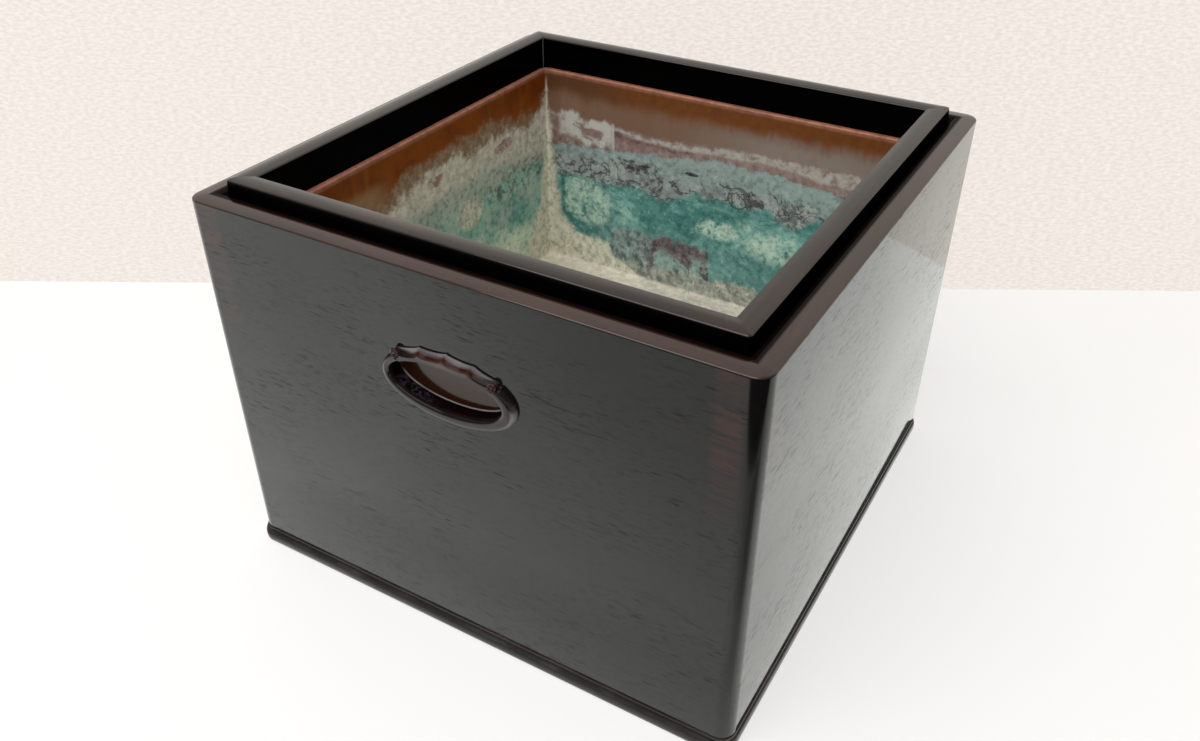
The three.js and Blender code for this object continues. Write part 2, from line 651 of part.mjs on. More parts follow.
// Rim wire: stiffens the rolled edge
const wireHalf = WIRE_DIAMETER / 2;
const wireOut = WIRE_CLEARANCE + wireHalf;
const wireHeight = LINER_TOP - SHEET_THICKNESS - WIRE_CLEARANCE - wireHalf;
const wireSides = 8;
const wireRings = [];
for (let i = 0; i < wireSides; i++) {
  const angle = (2 * Math.PI * (i + 0.5)) / wireSides;
  const out = wireOut + wireHalf * Math.cos(angle);
  const z = wireHeight + wireHalf * Math.sin(angle);
  const ring = loop(linerWidth + 2 * out, linerDepth + 2 * out, LINER_CORNER_RADIUS + out);
  wireRings.push(ring.map(([x, y]) => [x, y, z]));
}
hibachi.add(piece("liner_rim_wire", skin(wireRings, true), wireMetal));

export default hibachi;
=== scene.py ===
"""A square box hibachi of dark lacquered hardwood with a weathered copper liner, on a white table."""

import math

import bmesh
import bpy
from mathutils import Matrix, Vector, noise


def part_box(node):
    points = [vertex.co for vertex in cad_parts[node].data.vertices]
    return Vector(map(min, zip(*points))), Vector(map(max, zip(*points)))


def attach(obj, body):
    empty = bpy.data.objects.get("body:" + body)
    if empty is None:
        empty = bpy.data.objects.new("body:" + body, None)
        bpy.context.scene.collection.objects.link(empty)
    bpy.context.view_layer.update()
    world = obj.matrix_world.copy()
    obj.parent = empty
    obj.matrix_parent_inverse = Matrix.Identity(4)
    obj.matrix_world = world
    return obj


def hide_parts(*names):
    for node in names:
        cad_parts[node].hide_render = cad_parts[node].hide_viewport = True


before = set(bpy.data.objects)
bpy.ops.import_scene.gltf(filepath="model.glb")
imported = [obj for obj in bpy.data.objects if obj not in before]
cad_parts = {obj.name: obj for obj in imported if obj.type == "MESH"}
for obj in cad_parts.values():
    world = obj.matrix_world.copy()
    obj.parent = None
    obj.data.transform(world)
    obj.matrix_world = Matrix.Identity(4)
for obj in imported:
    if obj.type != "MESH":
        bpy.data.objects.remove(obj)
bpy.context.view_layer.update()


# Camera
# The photograph's viewpoint: above the near right corner, looking down at the box.
CAMERA_PLACE = Vector((0.3074, -0.54116, 0.52882))
CAMERA_FORWARD = Vector((-0.41619124, 0.70955971, -0.56860344))
CAMERA_RIGHT = Vector((0.86209445, 0.50674582, 0.00135465))
FOCAL_PIXELS = 1054.4
PHOTO_WIDTH_PIXELS = 1200
SENSOR_WIDTH_MM = 36


def put_in_scene(name, data):
    """A new object in the scene that shows a mesh, a lamp or a camera."""
    made = bpy.data.objects.new(name, data)
    bpy.context.scene.collection.objects.link(made)
    return made


camera_data = bpy.data.cameras.new("camera")
camera_data.sensor_width = SENSOR_WIDTH_MM
camera_data.lens = FOCAL_PIXELS / PHOTO_WIDTH_PIXELS * SENSOR_WIDTH_MM
camera_data.clip_start = 0.01
camera = put_in_scene("camera", camera_data)
backward = -CAMERA_FORWARD.normalized()
rightward = (CAMERA_RIGHT - CAMERA_RIGHT.dot(backward) * backward).normalized()
upward = backward.cross(rightward)
turn = Matrix((rightward, upward, backward)).transposed().to_4x4()
camera.matrix_world = Matrix.Translation(CAMERA_PLACE) @ turn
bpy.context.scene.camera = camera


# Case boards
# Four mitred hardwood boards with rounded upright corners and eased edges, glued and splined.
# Dark wiped lacquer over open grain: short dark pores run along each board, and a warm red
# shows through near the upright corners. The front and back boards have an oval hole for a pull.
class Wire:
    """A shader socket: arithmetic on it adds Math nodes."""

    def __init__(self, graph, socket):
        self.graph = graph
        self.socket = socket

    def math(self, operation, *values):
        return self.graph.node("ShaderNodeMath", {"operation": operation}, dict(enumerate(values)))

    def __add__(self, other):
        return self.math("ADD", self, other)

    def __radd__(self, other):
        return self.math("ADD", other, self)

    def __sub__(self, other):
        return self.math("SUBTRACT", self, other)

    def __rsub__(self, other):
        return self.math("SUBTRACT", other, self)

    def __mul__(self, other):
        return self.math("MULTIPLY", self, other)

    def __rmul__(self, other):
        return self.math("MULTIPLY", other, self)

    def __truediv__(self, other):
        return self.math("DIVIDE", self, other)

    def absolute(self):
        return self.math("ABSOLUTE", self)

    def most(self, other):
        return self.math("MAXIMUM", self, other)

    def least(self, other):
        return self.math("MINIMUM", self, other)

    def step(self, low, high, start=0.0, end=1.0):
        """Goes smoothly from start to end as the value goes from low to high."""
        settings = {"interpolation_type": "SMOOTHSTEP"}
        return self.graph.node("ShaderNodeMapRange", settings, {0: self, 1: low, 2: high, 3: start, 4: end})

    def follow(self, *points):
        """Goes in straight lines through points of (value, result)."""
        low, high = points[0][0], points[-1][0]
        bottom = min(result for _, result in points)
        rise = max(result for _, result in points) - bottom
        stops = [((value - low) / (high - low), (result - bottom) / rise) for value, result in points]
        share = self.graph.node("ShaderNodeMapRange", {}, {0: self, 1: low, 2: high})
        ramp = self.graph.node("ShaderNodeValToRGB", {"stops": stops}, {0: share})
        return ramp * rise + bottom

    def band(self, low, high, soft):
        """One between low and high, and zero outside."""
        return self.step(low - soft, low + soft) * self.step(high - soft, high + soft, 1.0, 0.0)


class Graph:
    """A material's node tree, filled through one method."""

    def __init__(self, name):
        self.material = bpy.data.materials.new(name)
        self.material.use_nodes = True
        self.tree = self.material.node_tree
        self.shader = self.tree.nodes["Principled BSDF"]

    def node(self, kind, settings, values, output=0):
        made = self.tree.nodes.new(kind)
        for key, value in settings.items():
            if key == "stops":
                self.fill_ramp(made.color_ramp.elements, value)
            else:
                setattr(made, key, value)
        for key, value in values.items():
            self.plug(made.inputs[key], value)
        return Wire(self, made.outputs[output])

    def fill_ramp(self, elements, stops):
        while len(elements) < len(stops):
            elements.new(1.0)
        for element, (position, shade) in zip(elements, stops):
            element.position = position
            element.color = (shade, shade, shade, 1.0)

    def plug(self, socket, value):
        if isinstance(value, Wire):
            self.tree.links.new(value.socket, socket)
        elif isinstance(value, tuple) and socket.type == "RGBA":
            socket.default_value = (*value, 1.0)
        else:
            socket.default_value = value

    def set(self, **values):
        for key, value in values.items():
            self.plug(self.shader.inputs[key.replace("_", " ")], value)

    def place(self):
        """The point in the row's frame, in metres, as a vector and as its three numbers."""
        point = self.node("ShaderNodeTexCoord", {}, {}, "Object")
        return point, [self.node("ShaderNodeSeparateXYZ", {}, {0: point}, axis) for axis in range(3)]

    def normal(self):
        """The three numbers of the surface's direction."""
        facing = self.node("ShaderNodeNewGeometry", {}, {}, "Normal")
        return [self.node("ShaderNodeSeparateXYZ", {}, {0: facing}, axis) for axis in range(3)]

    def vector(self, x, y, z):
        return self.node("ShaderNodeCombineXYZ", {}, {0: x, 1: y, 2: z})

    def noise(self, point, scale, detail=3.0, roughness=0.5, distortion=0.0):
        values = {"Vector": point, "Scale": scale, "Detail": detail}
        values |= {"Roughness": roughness, "Distortion": distortion}
        return self.node("ShaderNodeTexNoise", {}, values)

    def mix(self, share, first, second, blend="MIX"):
        settings = {"data_type": "RGBA", "blend_type": blend}
        return self.node("ShaderNodeMix", settings, {0: share, 6: first, 7: second}, 2)

    def bump(self, height, strength, distance, normal=None):
        values = {"Height": height, "Strength": strength, "Distance": distance}
        if normal is not None:
            values["Normal"] = normal
        return self.node("ShaderNodeBump", {}, values)


def lacquered_wood(name, along, ground, warm, seed, coat=1.0, polish=0.05, grain=1.0):
    """Open-grained dark hardwood under thin clear lacquer, with its grain along X or Y.
    ground is the wood's colour, warm the red-brown that shows near the upright corners."""
    graph = Graph(name)
    _, (x, y, z) = graph.place()
    length, across = (x, y) if along == "X" else (y, x)
    up = graph.normal()[2].step(0.35, 0.75)
    slope = z + length * 0.035
    figure = graph.noise(graph.vector(length * 6.0 + seed, across * 90.0, slope * 90.0), 1.0, 4.0, 0.6, 0.3)
    coarse = graph.noise(graph.vector(length * 95.0 + seed, across * 1300.0, slope * 1300.0), 1.0, 1.5)
    thin = graph.noise(graph.vector(length * 170.0, across * 2600.0, slope * 2600.0 + seed), 1.0, 1.5)
    patch = graph.noise(graph.vector(length * 11.0, across * 22.0, slope * 22.0 + seed), 1.0, 3.0, 0.6)
    pores = coarse.step(0.59, 0.71) * patch.step(0.38, 0.64, 0.12, 0.9)
    pores = pores.most(thin.step(0.57, 0.74) * patch.step(0.30, 0.60, 0.30, 0.75))
    pores = pores * (1 - up) * grain
    corner = length.absolute().band(0.157, 0.172, 0.003) * z.step(0.165, 0.215)
    streaks = graph.noise(graph.vector(length * 14.0, across * 240.0, slope * 240.0), 1.0, 3.0, 0.6)
    warmth = corner * streaks.step(0.35, 0.62) * (1 - up) + figure.step(0.55, 0.8) * 0.10
    rubbed = graph.mix(figure.step(0.35, 0.7), (0.025, 0.0132, 0.0098), (0.041, 0.0202, 0.0150))
    # The shoulder beside the collar is painted near black: painted shade and painted reflection of the
    # collar's black side.
    shoulder_shade = (CASE_HALF - across.absolute()).step(0.0088, 0.0107)
    rubbed = graph.mix(shoulder_shade * 0.9, rubbed, (0.0010, 0.0006, 0.0005))
    colour = graph.mix(up, graph.mix(warmth, ground, warm), rubbed)
    graph.set(Base_Color=colour, Specular_IOR_Level=0.0)
    cloud = graph.noise(graph.vector(length * 7.0, across * 14.0, z * 14.0 + seed), 1.0, 2.0)
    film = cloud.step(0.3, 0.7, 0.95, 1.0) * (1 - pores * 0.6)
    film = film * (1 - up * (0.28 + shoulder_shade * 0.60))
    graph.set(Roughness=pores.step(0.0, 1.0, 0.45, 0.7))
    graph.set(Coat_Weight=film * coat, Coat_Roughness=polish, Coat_IOR=1.5)
    wave = graph.noise(graph.vector(length * 10.0, across * 60.0, z * 60.0), 1.0, 2.0)
    ripple = graph.bump(wave, 0.05, 0.0003)
    graph.set(Normal=graph.bump(figure * 0.10 - pores, 0.22, 0.00004, ripple))
    return graph.material


def clean(mesh, distance=1e-6):
    """Merges points that coincide, drops what collapsed and turns the faces outwards."""
    work = bmesh.new()
    work.from_mesh(mesh)
    bmesh.ops.remove_doubles(work, verts=work.verts, dist=distance)
    bmesh.ops.dissolve_degenerate(work, edges=work.edges, dist=distance)
    bmesh.ops.recalc_face_normals(work, faces=work.faces)
    work.to_mesh(mesh)
    work.free()
    return mesh


def mesh_of(name, vertices, faces):
    mesh = bpy.data.meshes.new(name)
    mesh.from_pydata(vertices, [], faces)
    return clean(mesh)


def place_piece(name, mesh, material, nodes, body="case", smooth_degrees=40):
    """A mesh in the row's frame as a piece that rides on a body and replaces CAD nodes."""
    made = put_in_scene(name, mesh)
    mesh.materials.clear()
    mesh.materials.append(material)
    mesh.polygons.foreach_set("use_smooth", [True] * len(mesh.polygons))
    mesh.set_sharp_from_angle(angle=math.radians(smooth_degrees))
    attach(made, body)
    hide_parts(*nodes)
    return made


def quarter_round(centre, radius, start, end, steps=6):
    """Points of an arc as (out, height) pairs."""
    points = []
    for i in range(steps + 1):
        angle = math.radians(start + (end - start) * i / steps)
        points.append((centre[0] + radius[0] * math.cos(angle), centre[1] + radius[1] * math.sin(angle)))
    return points


SIDES = ("front", "right", "back", "left")
ALONG = {"front": "X", "back": "X", "left": "Y", "right": "Y"}
HAIRLINE = 0.00003
CORNER_STEPS = 10


def turned(side, point):
    """A point of the front carried round to a side."""
    x, y, z = point
    return {"front": (x, y, z), "right": (-y, x, z), "back": (-x, -y, z), "left": (y, -x, z)}[side]


def mitred_rail(name, side, half, radius, outer, inner_half, inner, side_share=1.0):
    """One side of a square frame, mitred in the middle of its rounded corners.
    outer and inner are (out, height) pairs, out counted from half and from inner_half.
    On the left and right of the frame the outer profile stands out by side_share of that."""
    share_x, share_y = (side_share, 1.0) if side in ("front", "back") else (1.0, side_share)
    turns = [45 * i / CORNER_STEPS for i in range(CORNER_STEPS + 1)]
    stations = [(-1, math.radians(225 + turn_angle)) for turn_angle in turns]
    stations += [(1, math.radians(270 + turn_angle)) for turn_angle in turns]
    vertices = []
    for sign, angle in stations:
        centre = sign * (half - radius)
        for out, height in outer:
            x = centre + (radius + out * share_x) * math.cos(angle)
            y = radius - half + (radius + out * share_y) * math.sin(angle)
            vertices.append((x - sign * HAIRLINE, y, height))
        for out, height in inner:
            x = sign * min(abs(centre + radius * math.cos(angle)), inner_half + out)
            vertices.append((x - sign * HAIRLINE, -(inner_half + out), height))
    count = len(outer) + len(inner)
    faces = []
    for s in range(len(stations) - 1):
        for i in range(count):
            a, b = s * count + i, s * count + (i + 1) % count
            faces.append((a, a + count, b + count, b))
    last = (len(stations) - 1) * count
    faces.append(tuple(range(count)))
    faces.append(tuple(last + i for i in reversed(range(count))))
    return mesh_of(name, [turned(side, point) for point in vertices], faces)


def ring_faces(first, second, count):
    """The faces between two closed rings of points, each given by the number of its first point."""
    steps = [(i, (i + 1) % count) for i in range(count)]
    return [(first + i, first + j, second + j, second + i) for i, j in steps]


def fan_faces(first, tip, count):
    """The faces between a closed ring of points and a single point."""
    return [(first + i, first + (i + 1) % count, tip) for i in range(count)]


def oval_prism(name, half_width, half_height, centre, near_y, far_y, steps=96):
    """An upright oval prism along Y, used to cut a hole."""
    centre_x, centre_z = centre
    vertices = []
    for y in (near_y, far_y):
        for i in range(steps):
            angle = 2 * math.pi * i / steps
            reach_x, reach_z = half_width * math.cos(angle), half_height * math.sin(angle)
            vertices.append((centre_x + reach_x, y, centre_z + reach_z))
    faces = ring_faces(0, steps, steps)
    faces += [tuple(reversed(range(steps))), tuple(range(steps, 2 * steps))]
    return mesh_of(name, vertices, faces)


def cut(mesh, cutter_mesh):
    """The mesh with the cutter's space taken out of it."""
    body = put_in_scene("cut_body", mesh)
    cutter = put_in_scene("cutter", cutter_mesh)
    boolean = body.modifiers.new("hole", "BOOLEAN")
    boolean.operation = "DIFFERENCE"
    boolean.solver = "EXACT"
    boolean.object = cutter
    evaluated = body.evaluated_get(bpy.context.evaluated_depsgraph_get())
    result = bpy.data.meshes.new_from_object(evaluated)
    for part in (body, cutter):
        bpy.data.objects.remove(part)
    return result


case_low, case_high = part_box("front_board")
CASE_HALF = -case_low.y
CASE_TOP = case_high.z
CASE_BOTTOM = case_low.z
BOARD_THICKNESS = case_high.y - case_low.y
INNER_HALF = CASE_HALF - BOARD_THICKNESS
CASE_CORNER_RADIUS = 0.0100
CASE_EDGE_ROUND = 0.0012
BOARD_TOP_FALL = 0.0008
BOARD_SHOULDER_WIDTH = 0.0045
BOARD_SHOULDER_DROP = 0.0042
BOARD_TOP_FLAT = 0.0025
BOARD_TOP_EASE = 0.00006
BOARD_ROUND_SWEEP = 86
BOARD_CROWN = ((0.0030, 0.0003), (0.0052, 0.00052))
HOLE_OVERCUT = 0.001
PULL_CENTRE_Z = 0.196
PULL_CENTRE_X = 0.0025
PULL_HOLE_HALF_WIDTH = 0.0372
PULL_HOLE_CENTRE_X = 0.0007
PULL_STEM_HALF_WIDTH = 0.0417
PULL_HOLE_HALF_HEIGHT = 0.0143
PULL_STEM_WALL = 0.0038
STEM_CLEARANCE = 0.0003
BOARD_GROUND = (0.0050, 0.0046, 0.0046)
BOARD_WARM = (0.028, 0.010, 0.008)

board_wood = {
    "X": lacquered_wood("case_wood_x", "X", BOARD_GROUND, BOARD_WARM, 0.0),
    "Y": lacquered_wood("case_wood_y", "Y", BOARD_GROUND, BOARD_WARM, 40.0),
}
edge = CASE_EDGE_ROUND
edge_top = CASE_TOP - BOARD_TOP_FALL
shoulder_foot = CASE_TOP - BOARD_SHOULDER_DROP
board_outer = quarter_round((-edge, CASE_BOTTOM + edge), (edge, edge), -90, 0)
board_outer += quarter_round((-edge, edge_top - edge), (edge, edge), 0, BOARD_ROUND_SWEEP)
board_outer += [(-inward, edge_top + rise) for inward, rise in BOARD_CROWN]
board_inner = [(BOARD_SHOULDER_WIDTH + BOARD_TOP_FLAT, CASE_TOP - BOARD_TOP_EASE)]
board_inner += quarter_round((BOARD_SHOULDER_WIDTH, shoulder_foot),
                             (BOARD_SHOULDER_WIDTH, BOARD_SHOULDER_DROP), 90, 180, 8)
board_inner += [(0, CASE_BOTTOM)]
for side in SIDES:
    board = mitred_rail(side + "_case_board", side, CASE_HALF, CASE_CORNER_RADIUS, board_outer,
                        INNER_HALF, board_inner)
    if side in ("front", "back"):
        sign = -1 if side == "front" else 1
        hole = oval_prism("hole", PULL_STEM_HALF_WIDTH + STEM_CLEARANCE,
                          PULL_HOLE_HALF_HEIGHT + PULL_STEM_WALL + STEM_CLEARANCE,
                          (-sign * PULL_CENTRE_X, PULL_CENTRE_Z),
                          sign * (CASE_HALF + HOLE_OVERCUT), sign * (INNER_HALF - HOLE_OVERCUT))
        board = cut(board, hole)
    place_piece(side + "_case_board", board, board_wood[ALONG[side]],
                [side + "_board"])


# Plinth
# Four mitred rails of the case's wood, bullnosed, with a thin fillet above the round.
# The case stands on them. Handling has dulled the lacquer, and dust lies in the step.
PLINTH_HEIGHT = CASE_BOTTOM
PLINTH_PROJECTION = 0.0034
PLINTH_SIDE_PROJECTION = 0.0016
PLINTH_RAIL_WIDTH = 0.030
FILLET_HEIGHT = 0.0026
FILLET_SETBACK = 0.0016
FILLET_EASE = 0.0003
FILLET_FOOT_DROP = 0.0002
BULLNOSE_OVAL = 0.5
BULLNOSE_SWEEP = 70
ROUND_MIDDLE = (PLINTH_HEIGHT - FILLET_HEIGHT) / 2
ROUND_REACH = ROUND_MIDDLE * BULLNOSE_OVAL
FILLET_OUT = PLINTH_PROJECTION - FILLET_SETBACK - ROUND_REACH / 2


def dulled_wood(name, along, dark, brown):
    """The plinth's wood: worn lacquer with a soft sheen, dull and dusty where it faces up, painted pale
    grey near its foot as a painted reflection of the table.
    """
    graph = Graph(name)
    _, (x, y, z) = graph.place()
    length, across = (x, y) if along == "X" else (y, x)
    up = graph.normal()[2].step(0.0, 0.7)
    figure = graph.noise(graph.vector(length * 9.0, across * 220.0, z * 220.0), 1.0, 4.0, 0.6, 0.3)
    worn = graph.noise(graph.vector(length * 26.0, across * 60.0, z * 90.0), 1.0, 4.0, 0.65)
    wood = graph.mix(figure.step(0.35, 0.7), dark, brown)
    # Pale grey painted towards the foot of the round is a painted reflection of the table.
    wood = graph.mix(z.step(0.0050, 0.0015) * 0.6, wood, (0.085, 0.085, 0.085))
    dusty = graph.mix(worn.step(0.4, 0.7), (0.026, 0.021, 0.020), (0.060, 0.052, 0.050))
    graph.set(Base_Color=graph.mix(up * 0.8, wood, dusty), Specular_IOR_Level=0.0)
    graph.set(Roughness=worn.step(0.3, 0.7, 0.5, 0.7))
    graph.set(Coat_Weight=up.step(0.0, 0.6, 0.85, 0.12) * worn.step(0.2, 0.7, 1.0, 0.7))
    graph.set(Coat_Roughness=0.16, Coat_IOR=1.5)
    graph.set(Normal=graph.bump(figure * 0.5 + worn * 0.5, 0.18, 0.00015))
    return graph.material


# The side rails' wood is painted about three times lighter than the front and back rails': painted light.
plinth_wood = {
    "X": dulled_wood("plinth_wood_x", "X", (0.020, 0.0205, 0.0220), (0.034, 0.0290, 0.0295)),
    "Y": dulled_wood("plinth_wood_y", "Y", (0.062, 0.058, 0.051), (0.088, 0.076, 0.066)),
}
round_centre = (PLINTH_PROJECTION - ROUND_REACH, ROUND_MIDDLE)
plinth_outer = quarter_round(round_centre, (ROUND_REACH, ROUND_MIDDLE), -90, BULLNOSE_SWEEP, 14)
plinth_outer += [(FILLET_OUT, 2 * ROUND_MIDDLE - FILLET_FOOT_DROP)]
plinth_outer += [(FILLET_OUT, PLINTH_HEIGHT - FILLET_EASE), (FILLET_OUT - FILLET_EASE, PLINTH_HEIGHT)]
for side in SIDES:
    projection = PLINTH_PROJECTION if side in ("front", "back") else PLINTH_SIDE_PROJECTION
    rail = mitred_rail("plinth_" + side, side, CASE_HALF, CASE_CORNER_RADIUS, plinth_outer,
                       CASE_HALF + projection - PLINTH_RAIL_WIDTH, [(0, PLINTH_HEIGHT), (0, 0)],
                       PLINTH_SIDE_PROJECTION / PLINTH_PROJECTION)
    place_piece("plinth_moulding_" + side, rail, plinth_wood[ALONG[side]],
                ["plinth_rail_" + side])


# Collar
# Four mitred rails glued inside the case boards, low-crowned on top and standing above them.
# The same wood: satin brown on the rubbed top; the sides are painted near black, a painted shade.
collar_low, collar_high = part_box("collar_rail_front")
COLLAR_TOP = collar_high.z
COLLAR_BOTTOM = collar_low.z
COLLAR_THICKNESS = 0.014
MOUTH_HALF = INNER_HALF - COLLAR_THICKNESS
COLLAR_CORNER_RADIUS = 0.0036
COLLAR_LEAN = 0.0011
COLLAR_TOP_FALL = 0.0006
COLLAR_EDGE_ROUND = 0.0013
COLLAR_ROUND_SWEEP = 75
CROWN_EDGE_IN = 0.0028
CROWN_EDGE_RISE = 0.0001
CROWN_FROM = 0.0034
CROWN_TO = -0.0044
CROWN_END_INSET = 0.0018
CROWN_STEPS = 5


def rubbed_wood(name, along):
    """The collar's wood: lacquer on its top only, the sides painted near black as painted shade, with a
    painted highlight down the inner mitres.
    """
    graph = Graph(name)
    _, (x, y, z) = graph.place()
    length, across = (x, y) if along == "X" else (y, x)
    up = graph.normal()[2].step(0.10, 0.60)
    figure = graph.noise(graph.vector(length * 5.0, across * 170.0, z * 170.0), 1.0, 3.0, 0.6, 0.2)
    worn = graph.noise(graph.vector(length * 16.0, across * 60.0, z * 60.0), 1.0, 4.0, 0.65)
    brown = graph.mix(figure.step(0.35, 0.7), (0.010, 0.0065, 0.0055), (0.026, 0.015, 0.012))
    # The sides are painted near black: painted shade.
    inner_face = (x.absolute().most(y.absolute()) - MOUTH_HALF).step(0.0012, 0.0006)
    # The pale line down the inner mitres is a painted highlight.
    mitre_highlight = (x.absolute() - y.absolute()).absolute().step(0.0008, 0.0003) * inner_face
    side = graph.mix(mitre_highlight * 0.9, (0.0007, 0.0005, 0.0005), (0.105, 0.100, 0.088))
    graph.set(Base_Color=graph.mix(up, side, brown), Specular_IOR_Level=0.0)
    graph.set(Roughness=worn.step(0.3, 0.7, 0.4, 0.6))
    gloss = up.step(0.0, 1.0, 0.06, 0.85) * worn.step(0.25, 0.7, 1.0, 0.9)
    gloss = gloss * x.most(y).step(0.0, 0.14, 1.0, 0.82)
    graph.set(Coat_Weight=gloss, Coat_Roughness=0.14, Coat_IOR=1.5)
    graph.set(Normal=graph.bump(figure * 0.6 + worn * 0.4, 0.10, 0.00010))
    return graph.material


collar_wood = {axis: rubbed_wood("collar_wood_" + axis.lower(), axis) for axis in ("X", "Y")}
round_out = -COLLAR_LEAN - COLLAR_EDGE_ROUND
round_height = COLLAR_TOP - COLLAR_TOP_FALL - COLLAR_EDGE_ROUND
collar_middle = COLLAR_THICKNESS / 2
round_radius = (COLLAR_EDGE_ROUND, COLLAR_EDGE_ROUND)


def crown_height(from_middle):
    """The height of the low arch of the collar's top, at a distance from the rail's middle."""
    return COLLAR_TOP - COLLAR_TOP_FALL * (from_middle / (collar_middle - CROWN_END_INSET)) ** 2


collar_outer = [(0, COLLAR_BOTTOM), (0, shoulder_foot)]
collar_outer += quarter_round((round_out, round_height), round_radius, 0, COLLAR_ROUND_SWEEP)
collar_outer += [(-CROWN_EDGE_IN, round_height + COLLAR_EDGE_ROUND + CROWN_EDGE_RISE)]
crown_places = [CROWN_FROM + (CROWN_TO - CROWN_FROM) * i / CROWN_STEPS for i in range(CROWN_STEPS + 1)]
collar_inner = [(collar_middle + out, crown_height(out)) for out in crown_places]
collar_inner += quarter_round((COLLAR_EDGE_ROUND, round_height), round_radius,
                              180 - COLLAR_ROUND_SWEEP, 180)
collar_inner += [(0, COLLAR_BOTTOM)]
for side in SIDES:
    rail = mitred_rail("collar_" + side, side, INNER_HALF, COLLAR_CORNER_RADIUS, collar_outer,
                       MOUTH_HALF, collar_inner)
    place_piece("collar_moulding_" + side, rail, collar_wood[ALONG[side]],
                ["collar_rail_" + side])


# Finger pulls
# Carved from one block of reddish hardwood: an oval bullnosed ring round a shallow dish, over it
# a crest of four scooped flutes between five points, with a small round curl at each end.
# Both are let into their boards a little to the right of the middle.
PULL_HALF_WIDTH = 0.0448
PULL_HALF_HEIGHT = 0.0222
PULL_PROUD = 0.0046
PULL_BORDER_PROUD = 0.0042
FLUTE_FLOOR_PROUD = 0.0011
PULL_BACK_THICKNESS = 0.003
PULL_STEM_DEPTH = 0.0062
DISH_FILLET = 0.0004
DISH_STEPS = 4
CREST_HALF_WIDTH = 0.0506
CREST_HALF_HEIGHT = 0.0230
PULL_STEPS = 240
RIM_STEPS = 30
RIM_EDGE_SHARE = 0.985
RING_INNER_POWER = 4.0
RING_OUTER_POWER = 2.2
BORDER_START = -0.06
BORDER_END = 0.07
FLUTE_COUNT = 4
FLUTE_DEPTH = 0.0013
FLUTE_POWER = 0.6
FLUTE_START = 0.34
FLUTE_END = 0.80
RIDGE_START = 0.45
RIDGE_FALL = 0.72
CREST_HALF_ANGLE = 43
CREST_FADE_ANGLE = 4
CURL_REACH_ANGLE = 6
CURL_RADIUS = 0.0029
CURL_PROUD = 0.0038
CURL_FROM_MIDDLE = 0.0325
CURL_MIDDLE_X = 0.0007
CURL_ABOVE_CENTRE = 0.0136
CURL_STEPS = 28
CURL_EYE_SHARE = 1.02
CURL_PROFILE = [(0.4, 0.0), (0.75, 0.45), (0.97, 0.72), (0.93, 0.85), (0.8, 0.95), (0.66, 0.97),
                (0.55, 0.86), (0.45, 0.78), (0.36, 0.84), (0.24, 0.98), (0.12, 1.0)]


